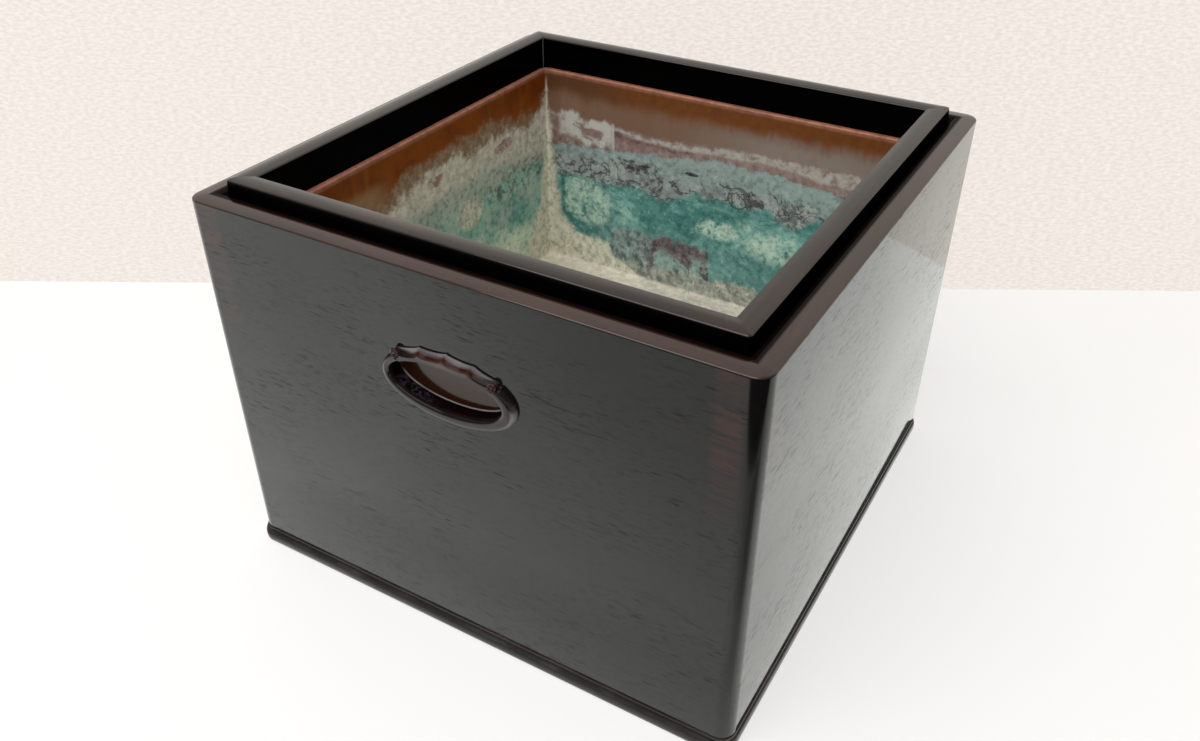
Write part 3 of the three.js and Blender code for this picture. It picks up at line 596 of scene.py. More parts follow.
def carved_wood_material():
    """Lacquered hardwood: black on the ring, red-brown in the scooped crest, dusty in the pocket. Painted
    highlights lie pale in the scoops, on the ring's lower outer edge and at the dish's lower edge; the
    pocket's wall is painted near black as painted shade.
    """
    graph = Graph("carved_wood")
    point, (x, y, z) = graph.place()
    facing_up = graph.normal()[2]
    figure = graph.noise(graph.vector(x * 30.0, y * 200.0, z * 200.0), 1.0, 4.0, 0.6, 0.5)
    cloud = graph.noise(point, 60.0, 3.0)
    along = x * y.math("SIGN", y) * -1.0
    above = z - PULL_CENTRE_Z
    from_middle = (along - PULL_CENTRE_X).absolute()
    out = y.absolute() - CASE_HALF
    crest = (above - from_middle * 0.10).step(0.0125, 0.0150) * out.step(0.0004, 0.0009)
    red = graph.mix(figure.step(0.35, 0.7), (0.020, 0.0040, 0.0024), (0.050, 0.0120, 0.0070))
    # pale is a painted highlight: the least proud parts of the scoops, towards their outer edge, are
    # painted pale grey.
    pale = graph.mix(cloud.step(0.35, 0.65), (0.070, 0.060, 0.061), (0.125, 0.116, 0.120))
    brown = graph.mix(figure.step(0.35, 0.7), (0.036, 0.023, 0.018), (0.062, 0.044, 0.036))
    scooped = graph.mix(out.step(0.0012, 0.0026), pale, red)
    carving = graph.mix(out.step(0.0033, 0.0040), scooped, brown)
    black = graph.mix(figure.step(0.4, 0.7), (0.0060, 0.0042, 0.0042), (0.014, 0.0070, 0.0065))
    colour = graph.mix(crest, black, carving)
    curl_x = (along - CURL_MIDDLE_X).absolute() - CURL_FROM_MIDDLE
    curl_z = above - CURL_ABOVE_CENTRE
    curl = graph.node("ShaderNodeMath", {"operation": "SQRT"}, {0: curl_x * curl_x + curl_z * curl_z})
    rosy = graph.mix(figure.step(0.35, 0.7), (0.020, 0.007, 0.006), (0.052, 0.030, 0.028))
    colour = graph.mix(curl.step(CURL_RADIUS + 0.0004, CURL_RADIUS - 0.0004), colour, rosy)
    # A pale line painted along the ring's lower outer edge is a painted highlight.
    edge_wide, edge_tall = from_middle / PULL_HALF_WIDTH, above / PULL_HALF_HEIGHT
    edge = (edge_wide * edge_wide + edge_tall * edge_tall).step(0.86, 0.92)
    edge = edge * out.step(0.0002, 0.0010) * above.step(0.006, -0.002)
    colour = graph.mix(edge * 0.9, colour, (0.150, 0.145, 0.138))

    wide = (along - PULL_HOLE_CENTRE_X) / PULL_HOLE_HALF_WIDTH
    tall = above / PULL_HOLE_HALF_HEIGHT
    # The pocket's wall inside the hole is painted near black: painted shade.
    shaded_pocket_wall = out.step(0.0030, 0.0) * (wide * wide + tall * tall).step(1.32, 1.12)
    colour = graph.mix(shaded_pocket_wall, colour, (0.0040, 0.0014, 0.0016))
    dust = graph.noise(point, 380.0, 5.0, 0.7).step(0.46, 0.62) * shaded_pocket_wall
    dust = dust * above.step(-0.003, -0.008) * along.step(-0.002, -0.026)
    colour = graph.mix(dust * 0.6, colour, (0.050, 0.048, 0.064))
    back = out.step(-0.0054, -0.0060)
    colour = graph.mix(back, colour, (0.024, 0.0075, 0.0040))
    # A pale line painted at the dish's lower edge is a painted highlight, and its coat is taken away.
    line = back * (wide * wide + tall * tall).step(0.90, 0.95) * above.step(-0.002, -0.006)
    colour = graph.mix(line * cloud.step(0.3, 0.5, 0.6, 1.0), colour, (0.22, 0.20, 0.195))
    graph.set(Base_Color=colour, Roughness=cloud.step(0.3, 0.7, 0.3, 0.5), Specular_IOR_Level=0.0)
    wall = shaded_pocket_wall * (1 - back)
    gloss = (1 - line) * (1 - wall * 0.92) * (1 - back * 0.2) * facing_up.step(0.20, 0.60, 1.0, 0.15)
    graph.set(Coat_Weight=gloss, Coat_Roughness=0.09, Coat_IOR=1.5)
    graph.set(Normal=graph.bump(figure, 0.22, 0.00012))
    return graph.material


def smooth(value, low, high):
    share = min(max((value - low) / (high - low), 0.0), 1.0)
    return share * share * (3 - 2 * share)


def rim_height(share, crest, flute):
    """How far the carving stands out of the board, from the hole's edge to the outer edge."""
    roundness = RING_INNER_POWER if share < 0.5 else RING_OUTER_POWER
    plain = PULL_PROUD * max(1 - abs(2 * share - 1) ** roundness, 0.0) ** 0.5
    border = PULL_BORDER_PROUD * min(smooth(share, BORDER_START, BORDER_END), 1.0)
    ridge = PULL_BORDER_PROUD * (1.0 - RIDGE_FALL * smooth(share, RIDGE_START, 1.0))
    scoop = smooth(share, FLUTE_START, FLUTE_END)
    valley = PULL_BORDER_PROUD + (FLUTE_FLOOR_PROUD - PULL_BORDER_PROUD) * scoop
    carved = border if share < FLUTE_START else ridge + (valley - ridge) * flute
    if share == 1.0:
        carved = 0.0
    return plain + (carved - plain) * crest


def pull_mesh(name, side):
    """The ring's sections run over the rim, along the stem to the back, and down into the dish."""
    shares = [i / RIM_STEPS for i in range(RIM_STEPS)] + [RIM_EDGE_SHARE, 1.0]
    back_depth = PULL_STEM_DEPTH + PULL_BACK_THICKNESS
    stem_height = PULL_HOLE_HALF_HEIGHT + PULL_STEM_WALL
    vertices = []
    for i in range(PULL_STEPS):
        angle = 2 * math.pi * i / PULL_STEPS
        from_top = (math.degrees(angle) + 90) % 360 - 180
        past_end = abs(from_top) - CREST_HALF_ANGLE
        crest = 1 - smooth(past_end, CURL_REACH_ANGLE, CURL_REACH_ANGLE + CREST_FADE_ANGLE)
        along = (from_top + CREST_HALF_ANGLE) / (2 * CREST_HALF_ANGLE) * FLUTE_COUNT
        flute = math.sin(math.pi * (along - math.floor(along))) ** FLUTE_POWER
        if past_end > 0:
            flute = smooth(past_end, 0, 2)
        shrink = 1 - crest * flute * FLUTE_DEPTH / PULL_HALF_HEIGHT
        outer_width = shrink * (PULL_HALF_WIDTH + (CREST_HALF_WIDTH - PULL_HALF_WIDTH) * crest)
        outer_height = shrink * (PULL_HALF_HEIGHT + (CREST_HALF_HEIGHT - PULL_HALF_HEIGHT) * crest)
        cos, sin = math.cos(angle), math.sin(angle)
        for share in shares:
            reach_x = PULL_HOLE_HALF_WIDTH + (outer_width - PULL_HOLE_HALF_WIDTH) * share
            reach_z = PULL_HOLE_HALF_HEIGHT + (outer_height - PULL_HOLE_HALF_HEIGHT) * share
            proud = rim_height(share, crest, flute)
            middle_x = PULL_HOLE_CENTRE_X + (PULL_CENTRE_X - PULL_HOLE_CENTRE_X) * share
            place = (middle_x + reach_x * cos, -CASE_HALF - proud, PULL_CENTRE_Z + reach_z * sin)
            vertices.append(place)
        for depth in (0, back_depth):
            stem_x = PULL_CENTRE_X + PULL_STEM_HALF_WIDTH * cos
            vertices.append((stem_x, depth - CASE_HALF, PULL_CENTRE_Z + stem_height * sin))
        for dish in range(DISH_STEPS):
            turn_in = math.radians(90 * dish / (DISH_STEPS - 1))
            inward = DISH_FILLET * (1 - math.cos(turn_in))
            depth = PULL_STEM_DEPTH - DISH_FILLET * (1 - math.sin(turn_in))
            width, height = PULL_HOLE_HALF_WIDTH - inward, PULL_HOLE_HALF_HEIGHT - inward
            place = (PULL_HOLE_CENTRE_X + width * cos, depth - CASE_HALF, PULL_CENTRE_Z + height * sin)
            vertices.append(place)
    count = len(shares) + 2 + DISH_STEPS
    rim_end = len(shares) + 1
    faces = []
    for s in range(PULL_STEPS):
        t = (s + 1) % PULL_STEPS
        for i in range(rim_end):
            faces.append((s * count + i, s * count + i + 1, t * count + i + 1, t * count + i))
        for i in range(rim_end + 1, count - 1):
            faces.append((s * count + i + 1, s * count + i, t * count + i, t * count + i + 1))
        start = rim_end + 1
        faces.append((s * count, t * count, t * count + start, s * count + start))
    faces.append(tuple(s * count + count - 1 for s in range(PULL_STEPS)))
    faces.append(tuple(s * count + rim_end for s in reversed(range(PULL_STEPS))))
    return mesh_of(name, [turned(side, point) for point in vertices], faces)


def curl_mesh(name, side, sign):
    """A small carved curl: a dome with a ring groove round its eye."""
    centre_x = CURL_MIDDLE_X + sign * CURL_FROM_MIDDLE
    centre_z = PULL_CENTRE_Z + CURL_ABOVE_CENTRE
    vertices = []
    for reach, height in CURL_PROFILE:
        for i in range(CURL_STEPS):
            turn_angle = 2 * math.pi * i / CURL_STEPS
            vertices.append((centre_x + CURL_RADIUS * reach * math.cos(turn_angle),
                             -CASE_HALF - CURL_PROUD * height,
                             centre_z + CURL_RADIUS * reach * math.sin(turn_angle)))
    vertices.append((centre_x, -CASE_HALF - CURL_PROUD * CURL_EYE_SHARE, centre_z))
    faces = [tuple(range(CURL_STEPS))]
    top = (len(CURL_PROFILE) - 1) * CURL_STEPS
    for start in range(0, top, CURL_STEPS):
        faces += ring_faces(start, start + CURL_STEPS, CURL_STEPS)
    faces += fan_faces(top, len(vertices) - 1, CURL_STEPS)
    return mesh_of(name, [turned(side, point) for point in vertices], faces)


def joined(name, meshes):
    """Several meshes as one."""
    work = bmesh.new()
    for mesh in meshes:
        work.from_mesh(mesh)
    result = bpy.data.meshes.new(name)
    work.to_mesh(result)
    work.free()
    return result


carved_wood = carved_wood_material()
for side in ("front", "back"):
    parts = [pull_mesh("ring", side)] + [curl_mesh("curl", side, sign) for sign in (-1, 1)]
    pull = joined("carved_pull_" + side, parts)
    place_piece("carved_pull_" + side, pull, carved_wood, ["pull_" + side],
                smooth_degrees=50)


# Copper liner
# One sheet folded to an open box with soldered upright seams, its rim rolled over a wire.
# Heat browned the top, damp ash left bands of grey, mauve and verdigris, a dark crust
# and pale deposits in the corners and on the floor.
liner_low, liner_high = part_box("copper_liner")
SHEET = 0.001
ROLL_REACH = 0.004
LINER_TOP = liner_high.z
LINER_BOTTOM = liner_low.z
LINER_HALF = liner_high.x - ROLL_REACH
LINER_CORNER_RADIUS = 0.003
LINER_FOLD_RADIUS = 0.003
ROLL_TURN_DOWN = 0.0032
ROLL_OUTER_ROUND = 0.0018
ROLL_INNER_ROUND = 0.0016
ROLL_GAP = 0.0001
WALL_TOP_DROP = 0.003
LEAST_CORNER_RADIUS = 0.0004
CRUST_LIFT = 0.0009
DENT_LIFT = 0.0005
FLOOR_LUMP = 0.0007
WALL_STEPS = 64
HEIGHT_STEPS = 48
FLOOR_RINGS = 30


def spot(along, down, centre, radii, soft=0.3):
    """One inside an oval patch of a wall, and zero outside; sizes in millimetres."""
    u = (along - centre[0]) / radii[0]
    v = (down - centre[1]) / radii[1]
    return (u * u + v * v).step(1.0 + soft, 1.0 - soft)


def browned_and_crusted(graph, along, depth, edge, ragged, fine, runs):
    """The back wall's bands from the rim down. along and depth are in millimetres."""
    down = depth + edge
    orange = graph.mix(fine.step(0.35, 0.7), (0.200, 0.066, 0.017), (0.145, 0.050, 0.016))
    dull_end = along.follow((-150, 1.0), (-100, 0.8), (-62, 0.0), (150, 0.0))
    orange = graph.mix(dull_end, orange, (0.125, 0.055, 0.027))
    grey_end = along.follow((-150, 0.0), (-30, 0.1), (10, 0.5), (50, 1.0), (100, 1.0), (150, 0.6))
    smoky = graph.mix(grey_end, (0.178, 0.100, 0.062), (0.235, 0.196, 0.168))
    smoky = graph.mix(runs.step(0.5, 0.72) * 0.5, smoky, (0.205, 0.128, 0.088))
    wall = graph.mix((depth + edge + (runs - 0.5) * 16).step(11, 25), orange, smoky)

    line = along.follow((-150, 33), (-85, 38), (-40, 40), (-15, 38), (40, 33), (110, 33), (150, 33))
    mauve = graph.mix(fine.step(0.4, 0.62), (0.22, 0.145, 0.135), (0.30, 0.22, 0.21))
    mauve_share = (depth + edge * 0.5 - line).step(-4, 0)
    mauve_share = mauve_share * along.follow((-150, 0.6), (0, 1.0), (150, 0.7))
    wall = graph.mix(mauve_share, wall, mauve)
    strokes = (down - 43).absolute().step(4.0, 1.5) * along.band(-90, -14, 6) * fine.step(0.42, 0.56)
    wall = graph.mix(strokes * 0.85, wall, (0.115, 0.062, 0.066))
    half_thick = along.follow((-150, 0.8), (-85, 0.9), (-15, 1.9), (20, 2.7), (70, 3.2), (85, 5.0),
                              (150, 6.0))
    from_line = (depth + edge * 0.55 - line - half_thick).absolute()
    chalk = graph.mix(fine.step(0.35, 0.65), (0.30, 0.27, 0.235), (0.43, 0.41, 0.375))
    wall = graph.mix((half_thick - from_line).step(-1.8, 1.2) * fine.step(0.30, 0.50), wall, chalk)
    patches = (depth + (runs - 0.5) * 22 + edge * 0.5).band(35, 54, 2) * along.band(-134, -85, 3)
    wall = graph.mix(patches * ragged.step(0.38, 0.50), wall, (0.47, 0.46, 0.42))
    drip = (along + 84 + edge * 0.15).absolute().step(1.7, 0.6) * depth.band(34, 62, 2)
    wall = graph.mix(drip * 0.9, wall, (0.46, 0.44, 0.40))

    slate_top = along.follow((-150, 60), (-100, 57), (-40, 51), (0, 46), (60, 46), (110, 52), (150, 52))
    slate = graph.mix(along.step(10, 80), (0.262, 0.330, 0.320), (0.265, 0.355, 0.338))
    slate = graph.mix(fine.step(0.45, 0.7) * 0.6, slate, (0.30, 0.36, 0.34))
    wall = graph.mix((down - slate_top).step(-1.5, 1.5), wall, slate)
    crust_top = along.follow((-150, 68), (-90, 68), (-75, 60), (-45, 62), (-20, 70), (20, 63), (60, 64),
                             (110, 68), (150, 68))
    teal_top = along.follow((-150, 87), (-60, 83), (-40, 88), (-20, 80), (0, 74), (20, 78), (50, 76),
                            (75, 86), (90, 72), (150, 74))
    crusted = (down + edge * 0.5 - crust_top).step(-2, 2)
    lilac = graph.mix(ragged.step(0.40, 0.60), (0.225, 0.255, 0.250), (0.345, 0.385, 0.365))
    wall = graph.mix(crusted, wall, lilac)

    sky = graph.mix(ragged.step(0.38, 0.62), (0.052, 0.185, 0.170), (0.100, 0.270, 0.248))
    cloud = graph.noise(graph.vector(along * 0.021, 0.0, depth * 0.027), 1.0, 7.0, 0.66, 0.9)
    sky = graph.mix(cloud.step(0.48, 0.60), sky, (0.190, 0.390, 0.350))
    sky = graph.mix(cloud.step(0.58, 0.68) * fine.step(0.40, 0.52), sky, (0.400, 0.600, 0.510))
    sky = graph.mix(depth.step(108, 122) * 0.5, sky, (0.120, 0.255, 0.240))
    drift = along + (runs - 0.5) * 16 + edge * 0.8
    pale = spot(drift, down, (-110, 106), (25, 19), 0.6) * cloud.step(0.38, 0.50, 0.25, 1.0)
    pale = pale.most(spot(drift, down, (10, 103), (17, 8), 0.6))
    pale = pale.most(spot(drift, down, (58, 106), (22, 13), 0.8) * ragged.step(0.44, 0.52))
    sky = graph.mix(pale * fine.step(0.36, 0.52), sky, (0.460, 0.620, 0.510))
    streak = (along + 132 + edge * 0.2).absolute().step(3.0, 1.0) * depth.band(84, 122, 4)
    blobs = spot(drift, down, (-130, 125), (6, 5)).most(spot(drift, down, (-119, 128), (5, 4)))
    blobs = blobs.most(spot(drift, down, (-104, 130), (6, 4)))
    sky = graph.mix(streak.most(blobs) * 0.8, sky, (0.050, 0.190, 0.165))
    wall = graph.mix((down + edge * 0.6 - teal_top).step(-3, 3), wall, sky)

    scribble = graph.noise(graph.vector(along * 0.045, 0.0, depth * 0.055), 1.0, 6.0, 0.66, 1.0)
    outline = (scribble - 0.5).absolute().step(0.040, 0.008)
    near_crust = (down - crust_top).step(-4, 0) * (down - teal_top).step(6, -2)
    dark = outline * near_crust * 0.85
    dark = dark.most(spot(along, down, (-62, 65), (14, 5)) * fine.step(0.44, 0.56))
    dark = dark.most(spot(along, depth + edge * 0.4, (-14, 60.5), (6, 1.6)))
    ring_u, ring_v = (along - 26 + edge * 0.3) / 8.5, (depth - 71) / 8.5
    ring = ((ring_u * ring_u + ring_v * ring_v) - 1.0).absolute().step(0.22, 0.08)
    dark = dark.most(ring * 0.8).most(spot(along, down, (67, 77), (8, 12)) * ragged.step(0.46, 0.56) * 0.7)
    wall = graph.mix(dark, wall, (0.045, 0.045, 0.050))

    blotch_top = along.follow((-150, 175), (-88, 175), (-86, 128), (-60, 122), (-40, 121), (4, 126),
                              (8, 175), (150, 175))
    grey_part = (along + edge).step(-44, -54)
    stain = graph.mix(fine.step(0.42, 0.62), (0.110, 0.076, 0.084), (0.175, 0.145, 0.150))
    greyer = graph.mix(fine.step(0.40, 0.60), (0.105, 0.142, 0.138), (0.260, 0.320, 0.300))
    stain = graph.mix(grey_part, stain, greyer)
    stain = graph.mix(ragged.step(0.48, 0.56) * depth.step(126, 140), stain, (0.260, 0.370, 0.335))
    stain = graph.mix(fine.step(0.66, 0.72), stain, (0.50, 0.52, 0.48))
    wall = graph.mix((down + edge * 0.8 - blotch_top).step(-3, 3), wall, stain)
    low_top = along.follow((-150, 133), (-88, 138), (-80, 152), (0, 151), (20, 147), (150, 148))
    low = graph.mix(fine.step(0.38, 0.62), (0.215, 0.225, 0.200), (0.40, 0.41, 0.34))
    low = graph.mix(along.step(-78, -92), low, (0.610, 0.640, 0.490))
    low = graph.mix(ragged.step(0.58, 0.66), low, (0.60, 0.62, 0.50))
    wall = graph.mix((down + edge * 0.9 - low_top).step(-4, 4), wall, low)
    seam_end = depth.follow((0, 151), (30, 146), (60, 142), (90, 140), (120, 135), (135, 122), (145, 95),
                            (160, 60), (170, 40))
    seam = (along.absolute() + edge * 0.8 - seam_end).step(-4, 3) * along.step(110, 60, 0.0, 1.0)
    cream = graph.mix(fine.step(0.35, 0.65), (0.54, 0.52, 0.41), (0.72, 0.69, 0.56))
    return graph.mix(seam, wall, cream)


def orange_and_creamy(graph, along, depth, edge, ragged, fine, runs):
    """The left wall's bands from the rim down. along and depth are in millimetres."""
    down = depth + edge
    orange = graph.mix(ragged.step(0.35, 0.65), (0.235, 0.058, 0.002), (0.165, 0.036, 0.001))
    orange = graph.mix(runs.step(0.55, 0.72) * 0.5, orange, (0.290, 0.095, 0.008))
    orange = graph.mix(along.step(-40, -70) * depth.step(14, 24), orange, (0.290, 0.165, 0.074))
    haze_top = along.follow((-150, 38), (-100, 38), (-60, 32), (-30, 22), (0, 20), (60, 18), (100, 26),
                            (130, 28), (150, 15))
    haze = graph.mix(fine.step(0.38, 0.64), (0.215, 0.135, 0.078), (0.320, 0.235, 0.160))
    wall = graph.mix((down + edge * 0.5 - haze_top).step(-5, 6), orange, haze)
    cream_top = along.follow((-150, 50), (-50, 42), (-20, 33), (30, 30), (45, 38), (50, 32), (90, 33),
                             (120, 38), (140, 25), (150, 25))
    cream = graph.mix(fine.step(0.35, 0.65), (0.44, 0.41, 0.33), (0.66, 0.63, 0.53))
    wall = graph.mix((down + edge * 0.5 - cream_top).step(-4, 4), wall, cream)
    pinkish = spot(along, down, (0, 40), (9, 3.5)).most(spot(along, down, (85, 43), (13, 4)))
    wall = graph.mix(pinkish * fine.step(0.40, 0.55), wall, (0.30, 0.185, 0.150))

    green_top = along.follow((-150, 58), (0, 55), (60, 55), (100, 62), (140, 70), (150, 72))
    green = graph.mix(ragged.step(0.38, 0.60), (0.310, 0.385, 0.325), (0.410, 0.475, 0.400))
    wall = graph.mix((down + edge * 0.6 - green_top).step(-5, 5), wall, green)
    sky = graph.mix(ragged.step(0.38, 0.62), (0.195, 0.405, 0.340), (0.320, 0.560, 0.460))
    sky = graph.mix(spot(along, down, (88, 100), (28, 11)) * 0.7, sky, (0.150, 0.330, 0.285))
    teal = (down + edge * 0.5 - 72).step(-5, 5) * ragged.step(0.60, 0.44, 0.35, 1.0)
    wall = graph.mix(teal, wall, sky)
    speckled = spot(along, down, (102, 77), (44, 13), 0.5) * fine.step(0.50, 0.57)
    wall = graph.mix(speckled * 0.8, wall, (0.135, 0.155, 0.125))
    lump = spot(along + edge * 0.9, down, (38, 80), (16, 13), 0.3)
    wall = graph.mix(lump, wall, graph.mix(fine.step(0.42, 0.60), (0.40, 0.42, 0.33), (0.66, 0.66, 0.53)))
    pale_top = along.follow((-150, 115), (60, 112), (90, 118), (150, 119))
    pale = graph.mix(ragged.step(0.40, 0.60), (0.500, 0.620, 0.490), (0.660, 0.720, 0.570))
    wall = graph.mix((down + edge * 0.8 - pale_top).step(-8, 8), wall, pale)
    seam_end = depth.follow((0, 150), (30, 146), (60, 142), (90, 138), (110, 134), (120, 128), (140, 118),
                            (160, 105), (170, 100))
    seam = (along.absolute() + edge * 0.8 - seam_end).step(-4, 3)
    return graph.mix(seam, wall, graph.mix(fine.step(0.35, 0.65), (0.56, 0.54, 0.43), (0.74, 0.71, 0.58)))


def weathered_copper():
    """The sheet: two walls' bands, each used on two walls, a pale floor, a bare lip, soot outside."""
    graph = Graph("weathered_copper")
    point, (x, y, z) = graph.place()
    broad = graph.noise(point, 9.0, 5.0, 0.6, 0.5)
    ragged = graph.noise(point, 34.0, 7.0, 0.68, 0.5)
    fine = graph.noise(point, 150.0, 6.0, 0.7, 0.3)
    grit = graph.noise(point, 520.0, 3.0, 0.6)
    runs = graph.noise(graph.vector(x * 95.0, y * 95.0, z * 12.0), 1.0, 4.0, 0.6, 0.4)
    depth = (LINER_TOP - z) * 1000.0
    edge = (ragged - 0.5) * 17.0 + (fine - 0.5) * 9.0
    back = browned_and_crusted(graph, x * 1000.0, depth, edge, ragged, fine, runs)
    left = orange_and_creamy(graph, y * 1000.0, depth, edge, ragged, fine, runs)
    colour = graph.mix((x.absolute() - y.absolute()).step(-0.0006, 0.0006), back, left)
    from_corner = LINER_HALF - x.absolute().least(y.absolute())
    solder = from_corner.step(0.0030, 0.0012) * depth.step(4, 14) * fine.step(0.34, 0.5, 0.5, 1.0)
    colour = graph.mix(solder * 0.85, colour, (0.66, 0.64, 0.53))
    granular = depth.step(30, 60)
    pits = graph.noise(point, 210.0, 5.0, 0.68)
    colour = graph.mix(pits.step(0.50, 0.38) * granular * 0.7, colour, (0.50, 0.52, 0.52), "MULTIPLY")
    colour = graph.mix(pits.step(0.55, 0.66) * granular * 0.6, colour, (0.20, 0.22, 0.20), "SCREEN")
    speck = grit.step(0.66, 0.72) * depth.step(34, 60)
    colour = graph.mix(speck * 0.55, colour, (0.05, 0.06, 0.06))

    floor = (z + (ragged - 0.5) * 0.006).step(LINER_BOTTOM + 0.0030, LINER_BOTTOM)
    settled = graph.mix(fine.step(0.35, 0.65), (0.56, 0.52, 0.42), (0.74, 0.68, 0.57))
    stain = graph.noise(point, 16.0, 6.0, 0.62, 0.5).step(0.54, 0.68) * 0.5
    colour = graph.mix(floor, colour, graph.mix(stain, settled, (0.36, 0.42, 0.37)))

    rim = z.step(LINER_TOP - 0.0042, LINER_TOP - 0.0022)
    lip = graph.mix(fine.step(0.4, 0.7), (0.33, 0.140, 0.088), (0.20, 0.085, 0.055))
    colour = graph.mix(rim, colour, lip)
    outside = (x.absolute().most(y.absolute()) - LINER_HALF).step(-0.00045, -0.00020)
    outside = outside * z.step(LINER_TOP - 0.0046, LINER_TOP - 0.0050)
    sooty = graph.mix(broad.step(0.4, 0.7), (0.19, 0.080, 0.045), (0.09, 0.05, 0.04))
    graph.set(Base_Color=graph.mix(outside, colour, sooty))
    bare = (depth + edge * 0.5).step(26, 8).most(rim)
    graph.set(Metallic=bare * 0.30)
    graph.set(Roughness=bare.step(0.0, 1.0, 0.85, 0.48) + fine.step(0.3, 0.7, -0.05, 0.05))
    graph.set(Specular_IOR_Level=0.15)
    rough_zone = depth.step(34, 60)
    relief = (ragged * 0.9 + fine * 0.5 + grit * 0.12) * rough_zone + fine * 0.08
    graph.set(Normal=graph.bump(relief, 0.75, 0.0012))
    return graph.material


def rounded_loop(half, radius, edge_steps, corner_steps=5):
    """Points round a rounded square with its straight edges divided."""
    points = []
    for quarter in range(4):
        start = math.radians(90 * quarter)
        cos, sin = math.cos(start), math.sin(start)
        corner = half - radius
        for i in range(corner_steps + 1):
            angle = math.radians(90 * i / corner_steps)
            x, y = corner + radius * math.cos(angle), corner + radius * math.sin(angle)
            points.append((x * cos - y * sin, x * sin + y * cos))
        for i in range(1, edge_steps):
            x, y = corner - 2 * corner * i / edge_steps, half
            points.append((x * cos - y * sin, x * sin + y * cos))
    return points


def crust_relief(x, y, z):
    """How far the crust lifts the inner surface, in metres."""
    below = LINER_TOP - z
    strength = smooth(below, 0.045, 0.075)
    lumps = noise.fractal(Vector((x, y, z)) * 42, 1.0, 2.1, 4)
    dents = noise.noise(Vector((x, y, z)) * 9)
    return CRUST_LIFT * strength * max(lumps, -0.2) + DENT_LIFT * dents * smooth(below, 0.005, 0.03)


fold = LINER_FOLD_RADIUS
inner_fold = fold - SHEET
wall_rings = []
for out, height in quarter_round((-fold, LINER_BOTTOM + fold), (fold, fold), -90, 0, 5):
    wall_rings.append((out, height, False))
roll_under = LINER_TOP - SHEET - ROLL_GAP
roll_foot = LINER_TOP - SHEET - ROLL_TURN_DOWN
for out, height in ((0, roll_under), (ROLL_REACH - SHEET, roll_under),
                    (ROLL_REACH - SHEET, roll_foot), (ROLL_REACH, roll_foot)):
    wall_rings.append((out, height, False))
roll_arcs = (
    (ROLL_REACH - ROLL_OUTER_ROUND, ROLL_OUTER_ROUND, 0),
    (ROLL_INNER_ROUND - SHEET, ROLL_INNER_ROUND, 90),
)
for middle, radius, start in roll_arcs:
    for out, height in quarter_round((middle, LINER_TOP - radius), (radius, radius), start, start + 90, 6):
        wall_rings.append((out, height, False))
wall_low = LINER_BOTTOM + SHEET + inner_fold
wall_high = LINER_TOP - WALL_TOP_DROP
for i in range(HEIGHT_STEPS + 1):
    wall_rings.append((-SHEET, wall_high + (wall_low - wall_high) * i / HEIGHT_STEPS, True))
for out, height in quarter_round((-SHEET - inner_fold, wall_low), (inner_fold, inner_fold), 0, -90, 5)[1:]:
    wall_rings.append((out, height, True))
liner_vertices = []
for out, height, inside in wall_rings:
    ring = rounded_loop(LINER_HALF + out, max(LINER_CORNER_RADIUS + out, LEAST_CORNER_RADIUS), WALL_STEPS)
    for x, y in ring:
        lift = crust_relief(x, y, height) if inside else 0.0
        reach = max(abs(x), abs(y))
        scale = (reach - lift) / reach
        liner_vertices.append((x * scale, y * scale, height))
ring_size = len(rounded_loop(LINER_HALF, LINER_CORNER_RADIUS, WALL_STEPS))
liner_faces = []
floor_start = (len(wall_rings) - 1) * ring_size
for start in range(0, floor_start, ring_size):
    liner_faces += ring_faces(start, start + ring_size, ring_size)
liner_faces.append(tuple(reversed(range(ring_size))))
floor_height = LINER_BOTTOM + SHEET
previous = floor_start
for r in range(1, FLOOR_RINGS):
    share = 1 - r / FLOOR_RINGS
    first = len(liner_vertices)
    for i in range(ring_size):
        x, y, _ = liner_vertices[floor_start + i]
        lump = FLOOR_LUMP * max(noise.fractal(Vector((x * share, y * share, 0.3)) * 30, 1.0, 2.1, 4), 0)
        liner_vertices.append((x * share, y * share, floor_height + lump * smooth(1 - share, 0, 0.1)))
    liner_faces += ring_faces(previous, first, ring_size)
    previous = first
liner_vertices.append((0, 0, floor_height))
liner_faces += fan_faces(previous, len(liner_vertices) - 1, ring_size)
liner_mesh = mesh_of("liner_sheet", liner_vertices, liner_faces)
place_piece("liner_sheet", liner_mesh, weathered_copper(), ["copper_liner"], "liner", 50)


# Pieces that keep their CAD shape
# The drawn wire in the liner's rim, the brass screws, the bare inner wood (bottom board, slats,
# ledgers, glue blocks and splines), and the back plates of the pulls, stained dark.
def dress(node, material):
    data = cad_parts[node].data
    data.materials.clear()
    data.materials.append(material)


def plain_wood(name, along, light=(0.50, 0.36, 0.22), shade=(0.34, 0.22, 0.12), roughness=0.7):
    graph = Graph(name)
    _, (x, y, z) = graph.place()
    stretch = {"X": (4, 70, 70), "Y": (70, 4, 70), "Z": (70, 70, 4)}[along]
    figure = graph.noise(graph.vector(x * stretch[0], y * stretch[1], z * stretch[2]), 1.0, 4.0, 0.6, 0.5)
    graph.set(Base_Color=graph.mix(figure.step(0.3, 0.7), shade, light))
    graph.set(Roughness=figure.step(0.2, 0.8, roughness - 0.1, roughness + 0.1))
    graph.set(Normal=graph.bump(figure, 0.4, 0.0002))
    return graph.material


